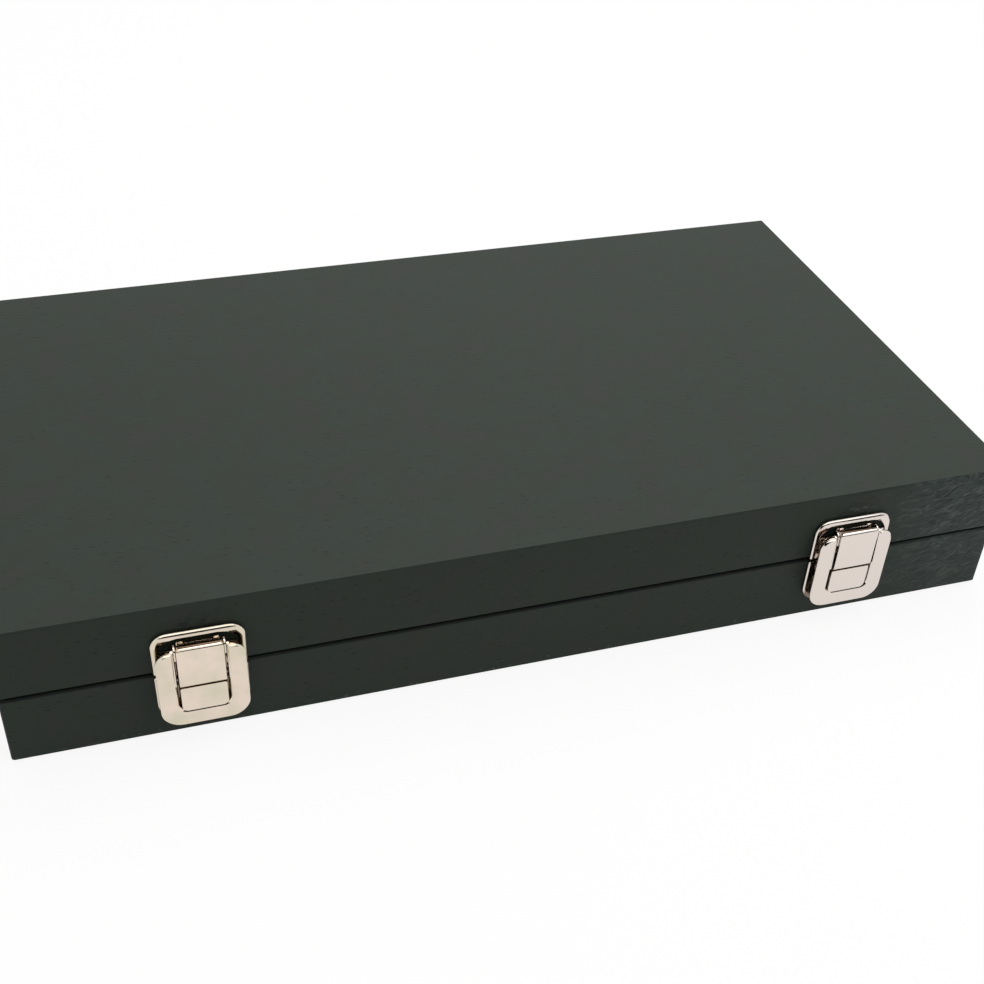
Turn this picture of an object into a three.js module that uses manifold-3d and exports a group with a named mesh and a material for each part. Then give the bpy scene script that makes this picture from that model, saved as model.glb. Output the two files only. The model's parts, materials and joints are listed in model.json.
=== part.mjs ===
// Flat watch case: a lid and a base of equal height, wrapped in leatherette, with two draw latches at
// the front, two butt hinges at the back, and twelve watch pillows in a lined and divided base.
// Millimetres. +Z is up, -Y is the front, and the origin is the middle of the underside.

import * as THREE from "three";
import { mergeVertices } from "three/addons/utils/BufferGeometryUtils.js";
import Module from "manifold-3d";

const wasm = await Module();
wasm.setup();

// Case outside
const caseWidth = 375;
const caseDepth = 216;
const baseHeight = 28.5;
const lidHeight = 28.5;
const partingGap = 0.9;
const cornerRadius = 1.4;
const edgeRadius = 0.7;

// Leatherette, the sheet under the base, and the boards behind them
const leatherThickness = 0.8;
const hemWidth = 12;
const sheetThickness = 0.8;
const sheetGap = 0.3;
const wallThickness = 5;
const boardThickness = 3;
const glueGap = 0.15;

// Lining, dividers and the padded panel in the lid
const liningThickness = 1;
const liningDrop = 0.4;
const seatGap = 0.3;
const columns = 6;
const rows = 2;
const dividerThickness = 2.5;
const dividerHeight = 20;
const lapGap = 0.3;
const padThickness = 4.7;
const padMargin = 3;
const padEdgeThickness = 2.2;
const padEdgePower = 6;

// Watch pillows
const pillowWidth = 50;
const pillowLength = 86;
const pillowHeight = 30;
const pillowFlat = 0.5;
const pillowDrawShare = 0.07;
const pillowRoundness = 3.2;

// Hinges
const hingeFromEnd = 65.5;
const hingeLength = 38;
const hingeKnuckles = 5;
const leafHeight = 14;
const leafThickness = 1;
const leafCornerRadius = 2;
const leafGap = 0.3;
const knuckleRadius = 2;
const knuckleGap = 0.3;
const hingeAxisOut = 2.5;
const hingePinRadius = 1;
const hingePinOverhang = 0.3;
const screwFromEnd = 6;
const screwHeight = 9;
const screwHeadRadius = 2.2;
const screwHeadHeight = 0.8;
const screwShankRadius = 0.9;
const screwLength = 5;
const screwHoleGap = 0.3;
const screwDomeShares = { radius: 0.8, height: 0.7 };

// Latches: places are measured from the parting line up and from the front face outwards
const latchFromEnd = 65.5;
const plateGap = 0.3;
const plateHalfWidth = 15.7;
const plateFloor = 0.6;
const plateRim = 1.3;
const plateParting = 0.6;
const plateCornerRadius = 0.7;
const plateDrop = 20.3;
const plateBottomRadius = 6.8;
const plateRimWidth = 1.9;
const strikeTop = 18.2;
const strikeTopRadius = 5.8;
const strikeRimWidth = 1.6;
const strikeRimTop = 2.4;
const strikeHollowRadius = 7;
const strikeWindowUp = 10.2;
const strikeWindowSide = 0.6;
const plateEdge = 0.45;
const lugHalfWidth = 6.6;
const lugHeight = 4.6;
const lugTop = 14.2;
const lugOut = 2.4;
const lugEarWidth = 1.5;
const lugEarHeight = 0.7;
const rivetRadius = 1.2;
const rivetHeight = 0.6;
const joinDepth = 0.15;
const strikeRivetSpread = 10.3;
const strikeRivetUp = 8.4;
const plateRivetSpread = 11.5;
const plateRivetDrop = 9;

const leverHalfWidth = 15;
const leverTop = 13.1;
const leverDrop = 20.3;
const leverOut = 6;
const leverThickness = 1.7;
const leverEdge = 0.6;
const leverTopRadius = 5;
const leverBottomRadius = 7;
const slotHalfWidth = 8.8;
const slotDrop = 13.5;
const slotRadius = 3;
const slotLipRadius = 1;
const leverFlangeThickness = 0.8;
const leverFlangeRadius = 1.3;
const leverPivotOut = 4.2;
const leverPivotUp = 12;
const tabHalfWidth = 7.8;
const tabOut = 5.7;
const tabThickness = 1.1;
const tabOverlap = 0.5;
const tabTopGap = 2.1;
const tabCornerRadius = 2.4;
const tabLipRadius = 0.6;

const tongueHalfWidth = 7.8;
const tongueTop = 14.8;
const tongueOut = 6.3;
const tongueThickness = 1;
const tongueBendRadius = 1.2;
const tongueFlangeBack = 2.75;
const tongueBarrelRadius = 1.6;
const tonguePivotUp = -1.2;
const tongueCornerRadius = 1.4;
const tongueFlangeFall = 0.5;

const earInner = 7.98;
const earThickness = 0.57;
const earTop = 14.6;
const earHeadOut = 5.6;
const earHeadBack = 1.95;
const earHeadDrop = 5;
const earHeadRadius = 2.2;
const earStemOut = 3.3;
const earFoot = 12;

const pinRadius = 0.7;
const pinGap = 0.15;
const pinHalfLength = 9.9;
const pinEndGap = 0.4;

// Facets and the overrun of a cut
const cornerFacets = 4;
const edgeFacets = 1;
const roundFacets = 12;
const screwFacets = 10;
const pillowFacets = [6, 6, 4];
const padFacets = [14, 8, 1];
const overrun = 2;

// Places that follow from the sizes
const halfWidth = caseWidth / 2;
const halfDepth = caseDepth / 2;
const caseTop = baseHeight + lidHeight;
const baseRim = baseHeight - partingGap / 2;
const lidRim = baseHeight + partingGap / 2;
const boardHalfWidth = halfWidth - leatherThickness - glueGap;
const boardHalfDepth = halfDepth - leatherThickness - glueGap;
const hemInnerHalfWidth = boardHalfWidth - hemWidth;
const hemInnerHalfDepth = boardHalfDepth - hemWidth;
const bayHalfWidth = boardHalfWidth - wallThickness;
const bayHalfDepth = boardHalfDepth - wallThickness;
const bottomBoardUnder = leatherThickness + glueGap;
const bottomBoardTop = bottomBoardUnder + boardThickness;
const baseWallUnder = bottomBoardTop + glueGap;
const baseWallTop = baseRim - leatherThickness - glueGap;
const topBoardTop = caseTop - leatherThickness - glueGap;
const topBoardUnder = topBoardTop - boardThickness;
const lidWallTop = topBoardUnder - glueGap;
const lidWallUnder = lidRim + leatherThickness + glueGap;
const liningHalfWidth = bayHalfWidth - glueGap;
const liningHalfDepth = bayHalfDepth - glueGap;
const roomHalfWidth = liningHalfWidth - liningThickness;
const roomHalfDepth = liningHalfDepth - liningThickness;
const liningUnder = bottomBoardTop + glueGap;
const roomFloor = liningUnder + liningThickness;
const lidLiningTop = topBoardUnder - glueGap;
const roomCeiling = lidLiningTop - liningThickness;
const columnPitch = (2 * roomHalfWidth + dividerThickness) / columns;
const rowPitch = (2 * roomHalfDepth + dividerThickness) / rows;
const dividerUnder = roomFloor + seatGap;
const dividerTop = dividerUnder + dividerHeight;
const hingeSpread = halfWidth - hingeFromEnd;
const latchSpread = halfWidth - latchFromEnd;
const hingeHalfLength = hingeLength / 2;
const screwSpread = hingeHalfLength - screwFromEnd;
const leafOut = leafGap + leafThickness;
const slotBottom = -slotDrop;
const leverBack = leverOut - leverThickness;
const tonguePivotOut = tongueOut - tongueBarrelRadius;

// Solids and meshes

const materials = {
  leatherette: { color: 0x2e342f, roughness: 0.55, metalness: 0 },
  fibreboard: { color: 0x8a6f52, roughness: 0.9, metalness: 0 },
  lining: { color: 0x1d1d1f, roughness: 0.95, metalness: 0 },
  pillow: { color: 0x8d8b88, roughness: 0.95, metalness: 0 },
  nickel: { color: 0xd9cfbf, roughness: 0.22, metalness: 1 },
};

function toSolid(geometry) {
  const bare = geometry.clone();
  bare.deleteAttribute("normal");
  bare.deleteAttribute("uv");
  const merged = mergeVertices(bare);
  return new wasm.Manifold(
    new wasm.Mesh({
      numProp: 3,
      vertProperties: new Float32Array(merged.attributes.position.array),
      triVerts: new Uint32Array(merged.index.array),
    }),
  );
}

function toGeometry(solid) {
  const { vertProperties, triVerts } = solid.getMesh();
  const geometry = new THREE.BufferGeometry();
  geometry.setAttribute("position", new THREE.BufferAttribute(vertProperties, 3));
  geometry.setIndex(new THREE.BufferAttribute(triVerts, 1));
  geometry.computeVertexNormals();
  return geometry;
}

function piece(name, solid, slot) {
  const material = new THREE.MeshStandardMaterial({ ...materials[slot], flatShading: true });
  const mesh = new THREE.Mesh(toGeometry(solid), material);
  mesh.name = name;
  return mesh;
}

function block([x0, x1], [y0, y1], [z0, z1]) {
  const box = new THREE.BoxGeometry(x1 - x0, y1 - y0, z1 - z0);
  box.translate((x0 + x1) / 2, (y0 + y1) / 2, (z0 + z1) / 2);
  return toSolid(box);
}

const span = (half) => [-half, half];

// A rectangle with its own radius at each end; the shape's y is the piece's height or depth.
function roundedShape(half, low, high, lowRadius, highRadius) {
  const shape = new THREE.Shape();
  shape.moveTo(-half, high - highRadius);
  shape.lineTo(-half, low + lowRadius);
  shape.absarc(-half + lowRadius, low + lowRadius, lowRadius, Math.PI, 1.5 * Math.PI);
  shape.lineTo(half - lowRadius, low);
  shape.absarc(half - lowRadius, low + lowRadius, lowRadius, 1.5 * Math.PI, 2 * Math.PI);
  shape.lineTo(half, high - highRadius);
  shape.absarc(half - highRadius, high - highRadius, highRadius, 0, Math.PI / 2);
  shape.lineTo(-half + highRadius, high);
  shape.absarc(-half + highRadius, high - highRadius, highRadius, Math.PI / 2, Math.PI);
  return shape;
}

function extrude(shape, depth, edge = 0) {
  return new THREE.ExtrudeGeometry(shape, {
    depth: depth - 2 * edge,
    curveSegments: cornerFacets,
    bevelEnabled: edge > 0,
    bevelThickness: edge,
    bevelSize: edge,
    bevelOffset: -edge,
    bevelSegments: edgeFacets,
  }).translate(0, 0, edge);
}

// A plate that stands upright and faces the front, from one distance out of the face to another.
function frontPlate(shape, back, out, edge = 0) {
  const geometry = extrude(shape, out - back, edge);
  geometry.rotateX(Math.PI / 2);
  geometry.translate(0, -back, 0);
  return toSolid(geometry);
}

// A plate on edge across the width, from a profile of distance out and height.
function crossPlate(profile, [x0, x1]) {
  const geometry = extrude(profile, x1 - x0);
  geometry.rotateX(Math.PI / 2);
  geometry.rotateZ(-Math.PI / 2);
  geometry.translate(x1, 0, 0);
  return toSolid(geometry);
}

// A round rod across the width.
function rod(radius, [x0, x1], y, z) {
  const geometry = new THREE.CylinderGeometry(radius, radius, x1 - x0, roundFacets);
  geometry.rotateZ(Math.PI / 2);
  geometry.translate((x0 + x1) / 2, y, z);
  return toSolid(geometry);
}

// A turned piece whose axis points out of the face: the profile is radius and distance out.
function turned(profile) {
  const points = profile.map(([radius, out]) => new THREE.Vector2(radius, out));
  return toSolid(new THREE.LatheGeometry(points, screwFacets));
}

// A hole bored along the depth, centred on a place.
function bore(length, [x, y, z]) {
  const radius = screwShankRadius + screwHoleGap;
  const geometry = new THREE.CylinderGeometry(radius, radius, length, screwFacets);
  return toSolid(geometry.translate(x, y, z));
}

// Case: leatherette, sheet, boards and walls

function wrappedBlock(under, top) {
  const shape = roundedShape(halfWidth, -halfDepth, halfDepth, cornerRadius, cornerRadius);
  return toSolid(extrude(shape, top - under, edgeRadius).translate(0, 0, under));
}

// The holes for the hinge screws, through the leatherette and the rear wall.
function drillRear(solid, height) {
  const reach = halfDepth - bayHalfDepth + overrun;
  let drilled = solid;
  for (const side of [-1, 1]) {
    for (const end of [-1, 1]) {
      const x = side * hingeSpread + end * screwSpread;
      drilled = drilled.subtract(bore(2 * reach, [x, halfDepth, height]));
    }
  }
  return drilled;
}

function baseCovering() {
  const inside = block(
    span(halfWidth - leatherThickness),
    span(halfDepth - leatherThickness),
    [leatherThickness, baseRim - leatherThickness],
  );
  const under = block(
    span(hemInnerHalfWidth),
    span(hemInnerHalfDepth),
    [-overrun, leatherThickness + overrun],
  );
  const mouth = block(
    span(bayHalfWidth),
    span(bayHalfDepth),
    [baseRim - leatherThickness - overrun, baseRim + overrun],
  );
  const wrap = wrappedBlock(0, baseRim).subtract(inside).subtract(under).subtract(mouth);
  return drillRear(wrap, baseHeight - screwHeight);
}

function lidCovering() {
  const inside = block(
    span(halfWidth - leatherThickness),
    span(halfDepth - leatherThickness),
    [lidRim + leatherThickness, caseTop - leatherThickness],
  );
  const mouth = block(
    span(bayHalfWidth),
    span(bayHalfDepth),
    [lidRim - overrun, lidRim + leatherThickness + overrun],
  );
  const wrap = wrappedBlock(lidRim, caseTop).subtract(inside).subtract(mouth);
  return drillRear(wrap, baseHeight + screwHeight);
}

function caseWalls(half, under, top, screwLevel) {
  const longSpan = span(boardHalfWidth);
  const shortSpan = span(bayHalfDepth - glueGap);
  const rear = block(longSpan, [bayHalfDepth, boardHalfDepth], [under, top]);
  const front = block(longSpan, [-boardHalfDepth, -bayHalfDepth], [under, top]);
  const left = block([-boardHalfWidth, -bayHalfWidth], shortSpan, [under, top]);
  const right = block([bayHalfWidth, boardHalfWidth], shortSpan, [under, top]);
  return [
    piece(`${half}_front_wall`, front, "fibreboard"),
    piece(`${half}_rear_wall`, drillRear(rear, screwLevel), "fibreboard"),
    piece(`${half}_left_wall`, left, "fibreboard"),
    piece(`${half}_right_wall`, right, "fibreboard"),
  ];
}

// The sheet lies between the hems, flush with them.
function bottomSheet() {
  const across = span(hemInnerHalfWidth - sheetGap);
  return block(across, span(hemInnerHalfDepth - sheetGap), [0, sheetThickness]);
}

function flatBoard(under, top) {
  return block(span(boardHalfWidth), span(boardHalfDepth), [under, top]);
}

// Inside: linings, dividers, padded panel and pillows

function baseLining() {
  const top = baseRim - liningDrop;
  const outer = block(span(liningHalfWidth), span(liningHalfDepth), [liningUnder, top]);
  return outer.subtract(block(span(roomHalfWidth), span(roomHalfDepth), [roomFloor, top + overrun]));
}

function lidLining() {
  const under = lidRim + liningDrop;
  const outer = block(span(liningHalfWidth), span(liningHalfDepth), [under, lidLiningTop]);
  return outer.subtract(block(span(roomHalfWidth), span(roomHalfDepth), [under - overrun, roomCeiling]));
}

const columnEdge = (index) => -roomHalfWidth - dividerThickness / 2 + index * columnPitch;
const rowEdge = (index) => -roomHalfDepth - dividerThickness / 2 + index * rowPitch;

// The long divider is notched from above and the cross dividers from below, half their height each.
function notch(x, y, [z0, z1]) {
  const half = dividerThickness / 2 + lapGap;
  return block([x - half, x + half], [y - half, y + half], [z0, z1]);
}

function dividers() {
  const middle = (dividerUnder + dividerTop) / 2;
  const pieces = [];
  for (let row = 1; row < rows; row++) {
    const y = rowEdge(row);
    const thick = [y - dividerThickness / 2, y + dividerThickness / 2];
    let board = block(span(roomHalfWidth - seatGap), thick, [dividerUnder, dividerTop]);
    for (let column = 1; column < columns; column++) {
      board = board.subtract(notch(columnEdge(column), y, [middle - lapGap / 2, dividerTop + overrun]));
    }
    pieces.push(piece(row > 1 ? `divider_long_${row}` : "divider_long", board, "lining"));
  }
  for (let column = 1; column < columns; column++) {
    const x = columnEdge(column);
    const thick = [x - dividerThickness / 2, x + dividerThickness / 2];
    let board = block(thick, span(roomHalfDepth - seatGap), [dividerUnder, dividerTop]);
    for (let row = 1; row < rows; row++) {
      board = board.subtract(notch(x, rowEdge(row), [dividerUnder - overrun, middle + lapGap / 2]));
    }
    pieces.push(piece(`divider_cross_${column}`, board, "lining"));
  }
  return pieces;
}

// A stuffed pillow: a rounded body whose sides pull in between its corners, flat where it rests.
function pillow(x, y, floor) {
  const geometry = new THREE.BoxGeometry(2, 2, 2, ...pillowFacets);
  const position = geometry.attributes.position;
  const halfHeight = pillowHeight / 2 + pillowFlat / 2;
  for (let i = 0; i < position.count; i++) {
    const cube = [position.getX(i), position.getY(i), position.getZ(i)];
    const reach = Math.max(...cube.map(Math.abs));
    const norm = cube.reduce((sum, c) => sum + Math.abs(c) ** pillowRoundness, 0) ** (1 / pillowRoundness);
    const [u, v, w] = cube.map((c) => (c * reach) / norm);
    const across = (pillowWidth / 2) * u * (1 - pillowDrawShare * (1 - v * v));
    const along = (pillowLength / 2) * v * (1 - pillowDrawShare * (1 - u * u));
    const height = Math.max(halfHeight * w, pillowFlat - halfHeight);
    position.setXYZ(i, x + across, y + along, floor + height + halfHeight - pillowFlat);
  }
  return toSolid(geometry);
}

function pillows() {
  const rowNames = ["front", "rear"];
  const pieces = [];
  for (let row = 0; row < rows; row++) {
    for (let column = 0; column < columns; column++) {
      const x = columnEdge(column) + columnPitch / 2;
      const y = rowEdge(row) + rowPitch / 2;
      const name = `watch_pillow_${rowNames[row] ?? row + 1}_${column + 1}`;
      pieces.push(piece(name, pillow(x, y, roomFloor + seatGap), "pillow"));
    }
  }
  return pieces;
}

// The padded panel glued in the lid: flat above, swelling below away from its stitched edge.
function lidPad() {
  const geometry = new THREE.BoxGeometry(2, 2, 2, ...padFacets);
  const position = geometry.attributes.position;
  const top = roomCeiling - seatGap;
  for (let i = 0; i < position.count; i++) {
    const [u, v, w] = [position.getX(i), position.getY(i), position.getZ(i)];
    const swell = (1 - u ** padEdgePower) * (1 - v ** padEdgePower);
    const depth = padEdgeThickness + (padThickness - padEdgeThickness) * swell;
    position.setXYZ(
      i,
      (roomHalfWidth - padMargin) * u,
      (roomHalfDepth - padMargin) * v,
      w > 0 ? top : top - depth,
    );
  }
  return toSolid(geometry);
}

// Hinges: a group whose origin is on the rear face at the parting line, with +Y out of the face

function knuckleSpan(index) {
  const pitch = (hingeLength + knuckleGap) / hingeKnuckles;
  const start = -hingeHalfLength + index * pitch;
  return [start, start + pitch - knuckleGap];
}

function hingeLeaf(up) {
  const shape = roundedShape(hingeHalfLength, knuckleGap, leafHeight, knuckleGap, leafCornerRadius);
  const plate = extrude(shape, leafThickness);
  plate.rotateX(Math.PI / 2);
  plate.translate(0, leafOut, 0);
  let leaf = up ? toSolid(plate) : toSolid(plate).mirror([0, 0, 1]);
  const level = up ? screwHeight : -screwHeight;
  for (let index = 0; index < hingeKnuckles; index++) {
    const [x0, x1] = knuckleSpan(index);
    const own = (index % 2 === 1) === up;
    if (own) {
      leaf = leaf.add(rod(knuckleRadius, [x0, x1], hingeAxisOut, 0));
    } else {
      const room = [x0 - knuckleGap, x1 + knuckleGap];
      leaf = leaf.subtract(rod(knuckleRadius + knuckleGap, room, hingeAxisOut, 0));
    }
  }
  leaf = leaf.subtract(rod(hingePinRadius + pinGap, span(hingeLength), hingeAxisOut, 0));
  for (const end of [-1, 1]) {
    leaf = leaf.subtract(bore(2 * (leafOut + overrun), [end * screwSpread, 0, level]));
  }
  return leaf;
}

function hingeScrew(x, z) {
  const seat = leafOut + glueGap;
  const top = seat + screwHeadHeight;
  const tip = top - screwLength;
  return turned([
    [0, tip],
    [screwShankRadius, tip + screwShankRadius],
    [screwShankRadius, seat],
    [screwHeadRadius, seat],
    [screwHeadRadius * screwDomeShares.radius, seat + screwHeadHeight * screwDomeShares.height],
    [0, top],
  ]).translate([x, 0, z]);
}

function hinge(side, name) {
  const group = new THREE.Group();
  group.position.set(side * hingeSpread, halfDepth, baseHeight);
  const pin = rod(hingePinRadius, span(hingeHalfLength + hingePinOverhang), hingeAxisOut, 0);
  group.add(
    piece(`hinge_${name}_base_leaf`, hingeLeaf(false), "nickel"),
    piece(`hinge_${name}_lid_leaf`, hingeLeaf(true), "nickel"),
    piece(`hinge_${name}_pin`, pin, "nickel"),
  );
  [-1, 1].forEach((end, index) => {
    const x = end * screwSpread;
    group.add(piece(`hinge_${name}_base_screw_${index + 1}`, hingeScrew(x, -screwHeight), "nickel"));
    group.add(piece(`hinge_${name}_lid_screw_${index + 1}`, hingeScrew(x, screwHeight), "nickel"));
  });
  return group;
}

// Latches: a group whose origin is on the front face at the parting line, with -Y out of the face

function rivetHead(x, z) {
  const seat = plateGap + plateFloor;
  const head = turned([
    [0, 0],
    [rivetRadius, 0],
    [rivetRadius, rivetHeight / 2],
    [rivetRadius / 2, rivetHeight],
    [0, rivetHeight],
  ]);
  return head.rotate([180, 0, 0]).translate([x, joinDepth - seat, z]);
}

// The strike on the lid: a rimmed plate with a hook lug in its hollow and a window round the lug.
function strike() {
  const front = plateGap + plateRim;
  const plate = frontPlate(
    roundedShape(plateHalfWidth, plateParting, strikeTop, plateCornerRadius, strikeTopRadius),
    plateGap,
    front,
    plateEdge,
  );
  const innerHalf = plateHalfWidth - strikeRimWidth;
  const hollowTop = strikeTop - strikeRimTop;
  const hollowShape = roundedShape(
    innerHalf,
    -overrun,
    hollowTop,
    plateCornerRadius,
    strikeHollowRadius,
  );
  const hollow = frontPlate(hollowShape, plateGap + plateFloor, front + overrun);
  const depth = [-front - overrun, overrun];
  const band = block(span(innerHalf), depth, [strikeWindowUp, hollowTop]);
  const post = block(span(lugHalfWidth + strikeWindowSide), depth, [0, lugTop]);
  const window = frontPlate(hollowShape, -overrun, front).intersect(band).subtract(post);
  const lug = frontPlate(
    roundedShape(lugHalfWidth, lugTop - lugHeight, lugTop, plateCornerRadius, plateCornerRadius),
    plateGap + joinDepth,
    lugOut,
  );
  let solid = plate.subtract(hollow).subtract(window).add(lug);
  for (const side of [-1, 1]) {
    const inner = side * (lugHalfWidth - lugEarWidth);
    const outer = side * lugHalfWidth;
    const ear = block(
      [Math.min(inner, outer), Math.max(inner, outer)],
      [-lugOut, -front],
      [lugTop - lugEarHeight, lugTop + lugEarHeight],
    );
    solid = solid.add(ear).add(rivetHead(side * strikeRivetSpread, strikeRivetUp));
  }
  return solid;
}

function earProfile() {
  const headUnder = earTop - earHeadDrop;
  const profile = new THREE.Shape();
  profile.moveTo(plateGap + joinDepth, -earFoot);
  profile.lineTo(earStemOut, -earFoot + earStemOut);
  profile.lineTo(earStemOut, headUnder - earStemOut);
  profile.lineTo(earHeadOut, headUnder);
  profile.lineTo(earHeadOut, earTop - earHeadRadius);
  profile.absarc(earHeadOut - earHeadRadius, earTop - earHeadRadius, earHeadRadius, 0, Math.PI / 2);
  profile.lineTo(earHeadBack, earTop);
  profile.lineTo(earHeadBack, 0);
  profile.lineTo(plateGap + joinDepth, -plateParting - earHeadBack);
  return profile;
}

// The base plate: a rimmed plate with two ears that carry the lever's pin in front of the strike.
function basePlate() {
  const front = plateGap + plateRim;
  const plate = frontPlate(
    roundedShape(plateHalfWidth, -plateDrop, -plateParting, plateBottomRadius, plateCornerRadius),
    plateGap,
    front,
    plateEdge,
  );
  const hollow = frontPlate(
    roundedShape(
      plateHalfWidth - plateRimWidth,
      -plateDrop + plateRimWidth,
      overrun,
      plateBottomRadius - plateRimWidth,
      plateCornerRadius,
    ),
    plateGap + plateFloor,
    front + overrun,
  );
  let solid = plate.subtract(hollow);
  for (const side of [-1, 1]) {
    const inner = side * earInner;
    const outer = side * (earInner + earThickness);
    solid = solid.add(crossPlate(earProfile(), [Math.min(inner, outer), Math.max(inner, outer)]));
    solid = solid.add(rivetHead(side * plateRivetSpread, -plateRivetDrop));
  }
  return solid.subtract(rod(pinRadius + pinGap, span(plateHalfWidth), -leverPivotOut, leverPivotUp));
}

function leverShape() {
  const arc = (x, z, radius, from, to, clockwise = false) =>
    shape.absarc(x, z, radius, from * Math.PI, to * Math.PI, clockwise);
  const shape = new THREE.Shape();
  const bottom = -leverDrop + leverBottomRadius;
  const shoulder = leverTop - leverTopRadius;
  const foot = slotBottom + slotRadius;
  shape.moveTo(-leverHalfWidth, shoulder);
  shape.lineTo(-leverHalfWidth, bottom);
  arc(-leverHalfWidth + leverBottomRadius, bottom, leverBottomRadius, 1, 1.5);
  shape.lineTo(leverHalfWidth - leverBottomRadius, -leverDrop);
  arc(leverHalfWidth - leverBottomRadius, bottom, leverBottomRadius, 1.5, 2);
  shape.lineTo(leverHalfWidth, shoulder);
  arc(leverHalfWidth - leverTopRadius, shoulder, leverTopRadius, 0, 0.5);
  shape.lineTo(slotHalfWidth + slotLipRadius, leverTop);
  arc(slotHalfWidth + slotLipRadius, leverTop - slotLipRadius, slotLipRadius, 0.5, 1);
  shape.lineTo(slotHalfWidth, foot);
  arc(slotHalfWidth - slotRadius, foot, slotRadius, 0, -0.5, true);
  shape.lineTo(-slotHalfWidth + slotRadius, slotBottom);
  arc(-slotHalfWidth + slotRadius, foot, slotRadius, -0.5, -1, true);
  shape.lineTo(-slotHalfWidth, leverTop - slotLipRadius);
  arc(-slotHalfWidth - slotLipRadius, leverTop - slotLipRadius, slotLipRadius, 0, 0.5);
  shape.lineTo(-leverHalfWidth + leverTopRadius, leverTop);
  arc(-leverHalfWidth + leverTopRadius, shoulder, leverTopRadius, 0.5, 1);
  return shape;
}

// A link's outline round its two pivots.
function leverFlangeProfile() {
  const profile = new THREE.Shape();
  const lean = Math.atan2(tonguePivotOut - leverPivotOut, leverPivotUp - tonguePivotUp);
  profile.absarc(leverPivotOut, leverPivotUp, leverFlangeRadius, lean, Math.PI + lean);
  profile.absarc(tonguePivotOut, tonguePivotUp, leverFlangeRadius, Math.PI + lean, 2 * Math.PI + lean);
  return profile;
}

// The lever: a U-shaped frame with flanges that hold both pins, and a tab in the foot of its slot.
function lever() {
  let solid = frontPlate(leverShape(), leverBack, leverOut, leverEdge);
  const tabTop = tonguePivotUp - tabTopGap;
  const tab = frontPlate(
    roundedShape(tabHalfWidth, slotBottom - tabOverlap, tabTop, tabCornerRadius, tabLipRadius),
    tabOut - tabThickness,
    tabOut,
  );
  solid = solid.add(tab);
  const link = leverFlangeProfile();
  for (const side of [-1, 1]) {
    const inner = side * slotHalfWidth;
    const outer = side * (slotHalfWidth + leverFlangeThickness);
    solid = solid.add(crossPlate(link, [Math.min(inner, outer), Math.max(inner, outer)]));
  }
  const room = span(pinHalfLength + pinEndGap);
  solid = solid.subtract(rod(pinRadius + pinGap, room, -leverPivotOut, leverPivotUp));
  return solid.subtract(rod(pinRadius + pinGap, room, -tonguePivotOut, tonguePivotUp));
}

function tongueProfile() {
  const inner = tongueOut - tongueThickness;
  const under = tongueTop - tongueThickness;
  const bend = tongueBendRadius;
  const nose = tongueThickness / 2;
  const noseLevel = tongueTop - tongueFlangeFall - nose;
  const profile = new THREE.Shape();
  profile.moveTo(tongueOut, tonguePivotUp);
  profile.lineTo(tongueOut, tongueTop - bend);
  profile.absarc(tongueOut - bend, tongueTop - bend, bend, 0, Math.PI / 2);
  profile.lineTo(tongueFlangeBack + nose, tongueTop - tongueFlangeFall);
  profile.absarc(tongueFlangeBack + nose, noseLevel, nose, Math.PI / 2, 1.5 * Math.PI);
  profile.lineTo(inner, under);
  profile.lineTo(inner, tonguePivotUp);
  return profile;
}

// The tongue: a hooked plate that turns on its pin at the foot and reaches over the strike's lug.
function tongue() {
  const across = span(tongueHalfWidth);
  const outline = frontPlate(
    roundedShape(
      tongueHalfWidth,
      tonguePivotUp - tongueBarrelRadius,
      tongueTop,
      pinGap,
      tongueCornerRadius,
    ),
    tongueFlangeBack - overrun,
    tongueOut + overrun,
  );
  const barrel = rod(tongueBarrelRadius, across, -tonguePivotOut, tonguePivotUp);
  const hole = rod(pinRadius + pinGap, span(slotHalfWidth), -tonguePivotOut, tonguePivotUp);
  return crossPlate(tongueProfile(), across).intersect(outline).add(barrel).subtract(hole);
}

function latch(side, name) {
  const group = new THREE.Group();
  group.position.set(side * latchSpread, -halfDepth, baseHeight);
  const pinSpan = span(pinHalfLength);
  const leverPin = rod(pinRadius, pinSpan, -leverPivotOut, leverPivotUp);
  const tonguePin = rod(pinRadius, pinSpan, -tonguePivotOut, tonguePivotUp);
  group.add(
    piece(`latch_${name}_strike`, strike(), "nickel"),
    piece(`latch_${name}_base_plate`, basePlate(), "nickel"),
    piece(`latch_${name}_lever`, lever(), "nickel"),
    piece(`latch_${name}_lever_pin`, leverPin, "nickel"),
    piece(`latch_${name}_tongue`, tongue(), "nickel"),
    piece(`latch_${name}_tongue_pin`, tonguePin, "nickel"),
  );
  return group;
}

// The whole case

const watchCase = new THREE.Group();
watchCase.add(
  piece("base_bottom_sheet", bottomSheet(), "leatherette"),
  piece("base_covering", baseCovering(), "leatherette"),
  piece("base_bottom_board", flatBoard(bottomBoardUnder, bottomBoardTop), "fibreboard"),
  ...caseWalls("base", baseWallUnder, baseWallTop, baseHeight - screwHeight),
  piece("base_lining", baseLining(), "lining"),
  ...dividers(),
  ...pillows(),
  piece("lid_covering", lidCovering(), "leatherette"),
  piece("lid_top_board", flatBoard(topBoardUnder, topBoardTop), "fibreboard"),
  ...caseWalls("lid", lidWallUnder, lidWallTop, baseHeight + screwHeight),
  piece("lid_lining", lidLining(), "lining"),
  piece("lid_pad", lidPad(), "lining"),
  hinge(-1, "left"),
  hinge(1, "right"),
  latch(-1, "left"),
  latch(1, "right"),
);

export default watchCase;
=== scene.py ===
import json
import math
import random

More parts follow.
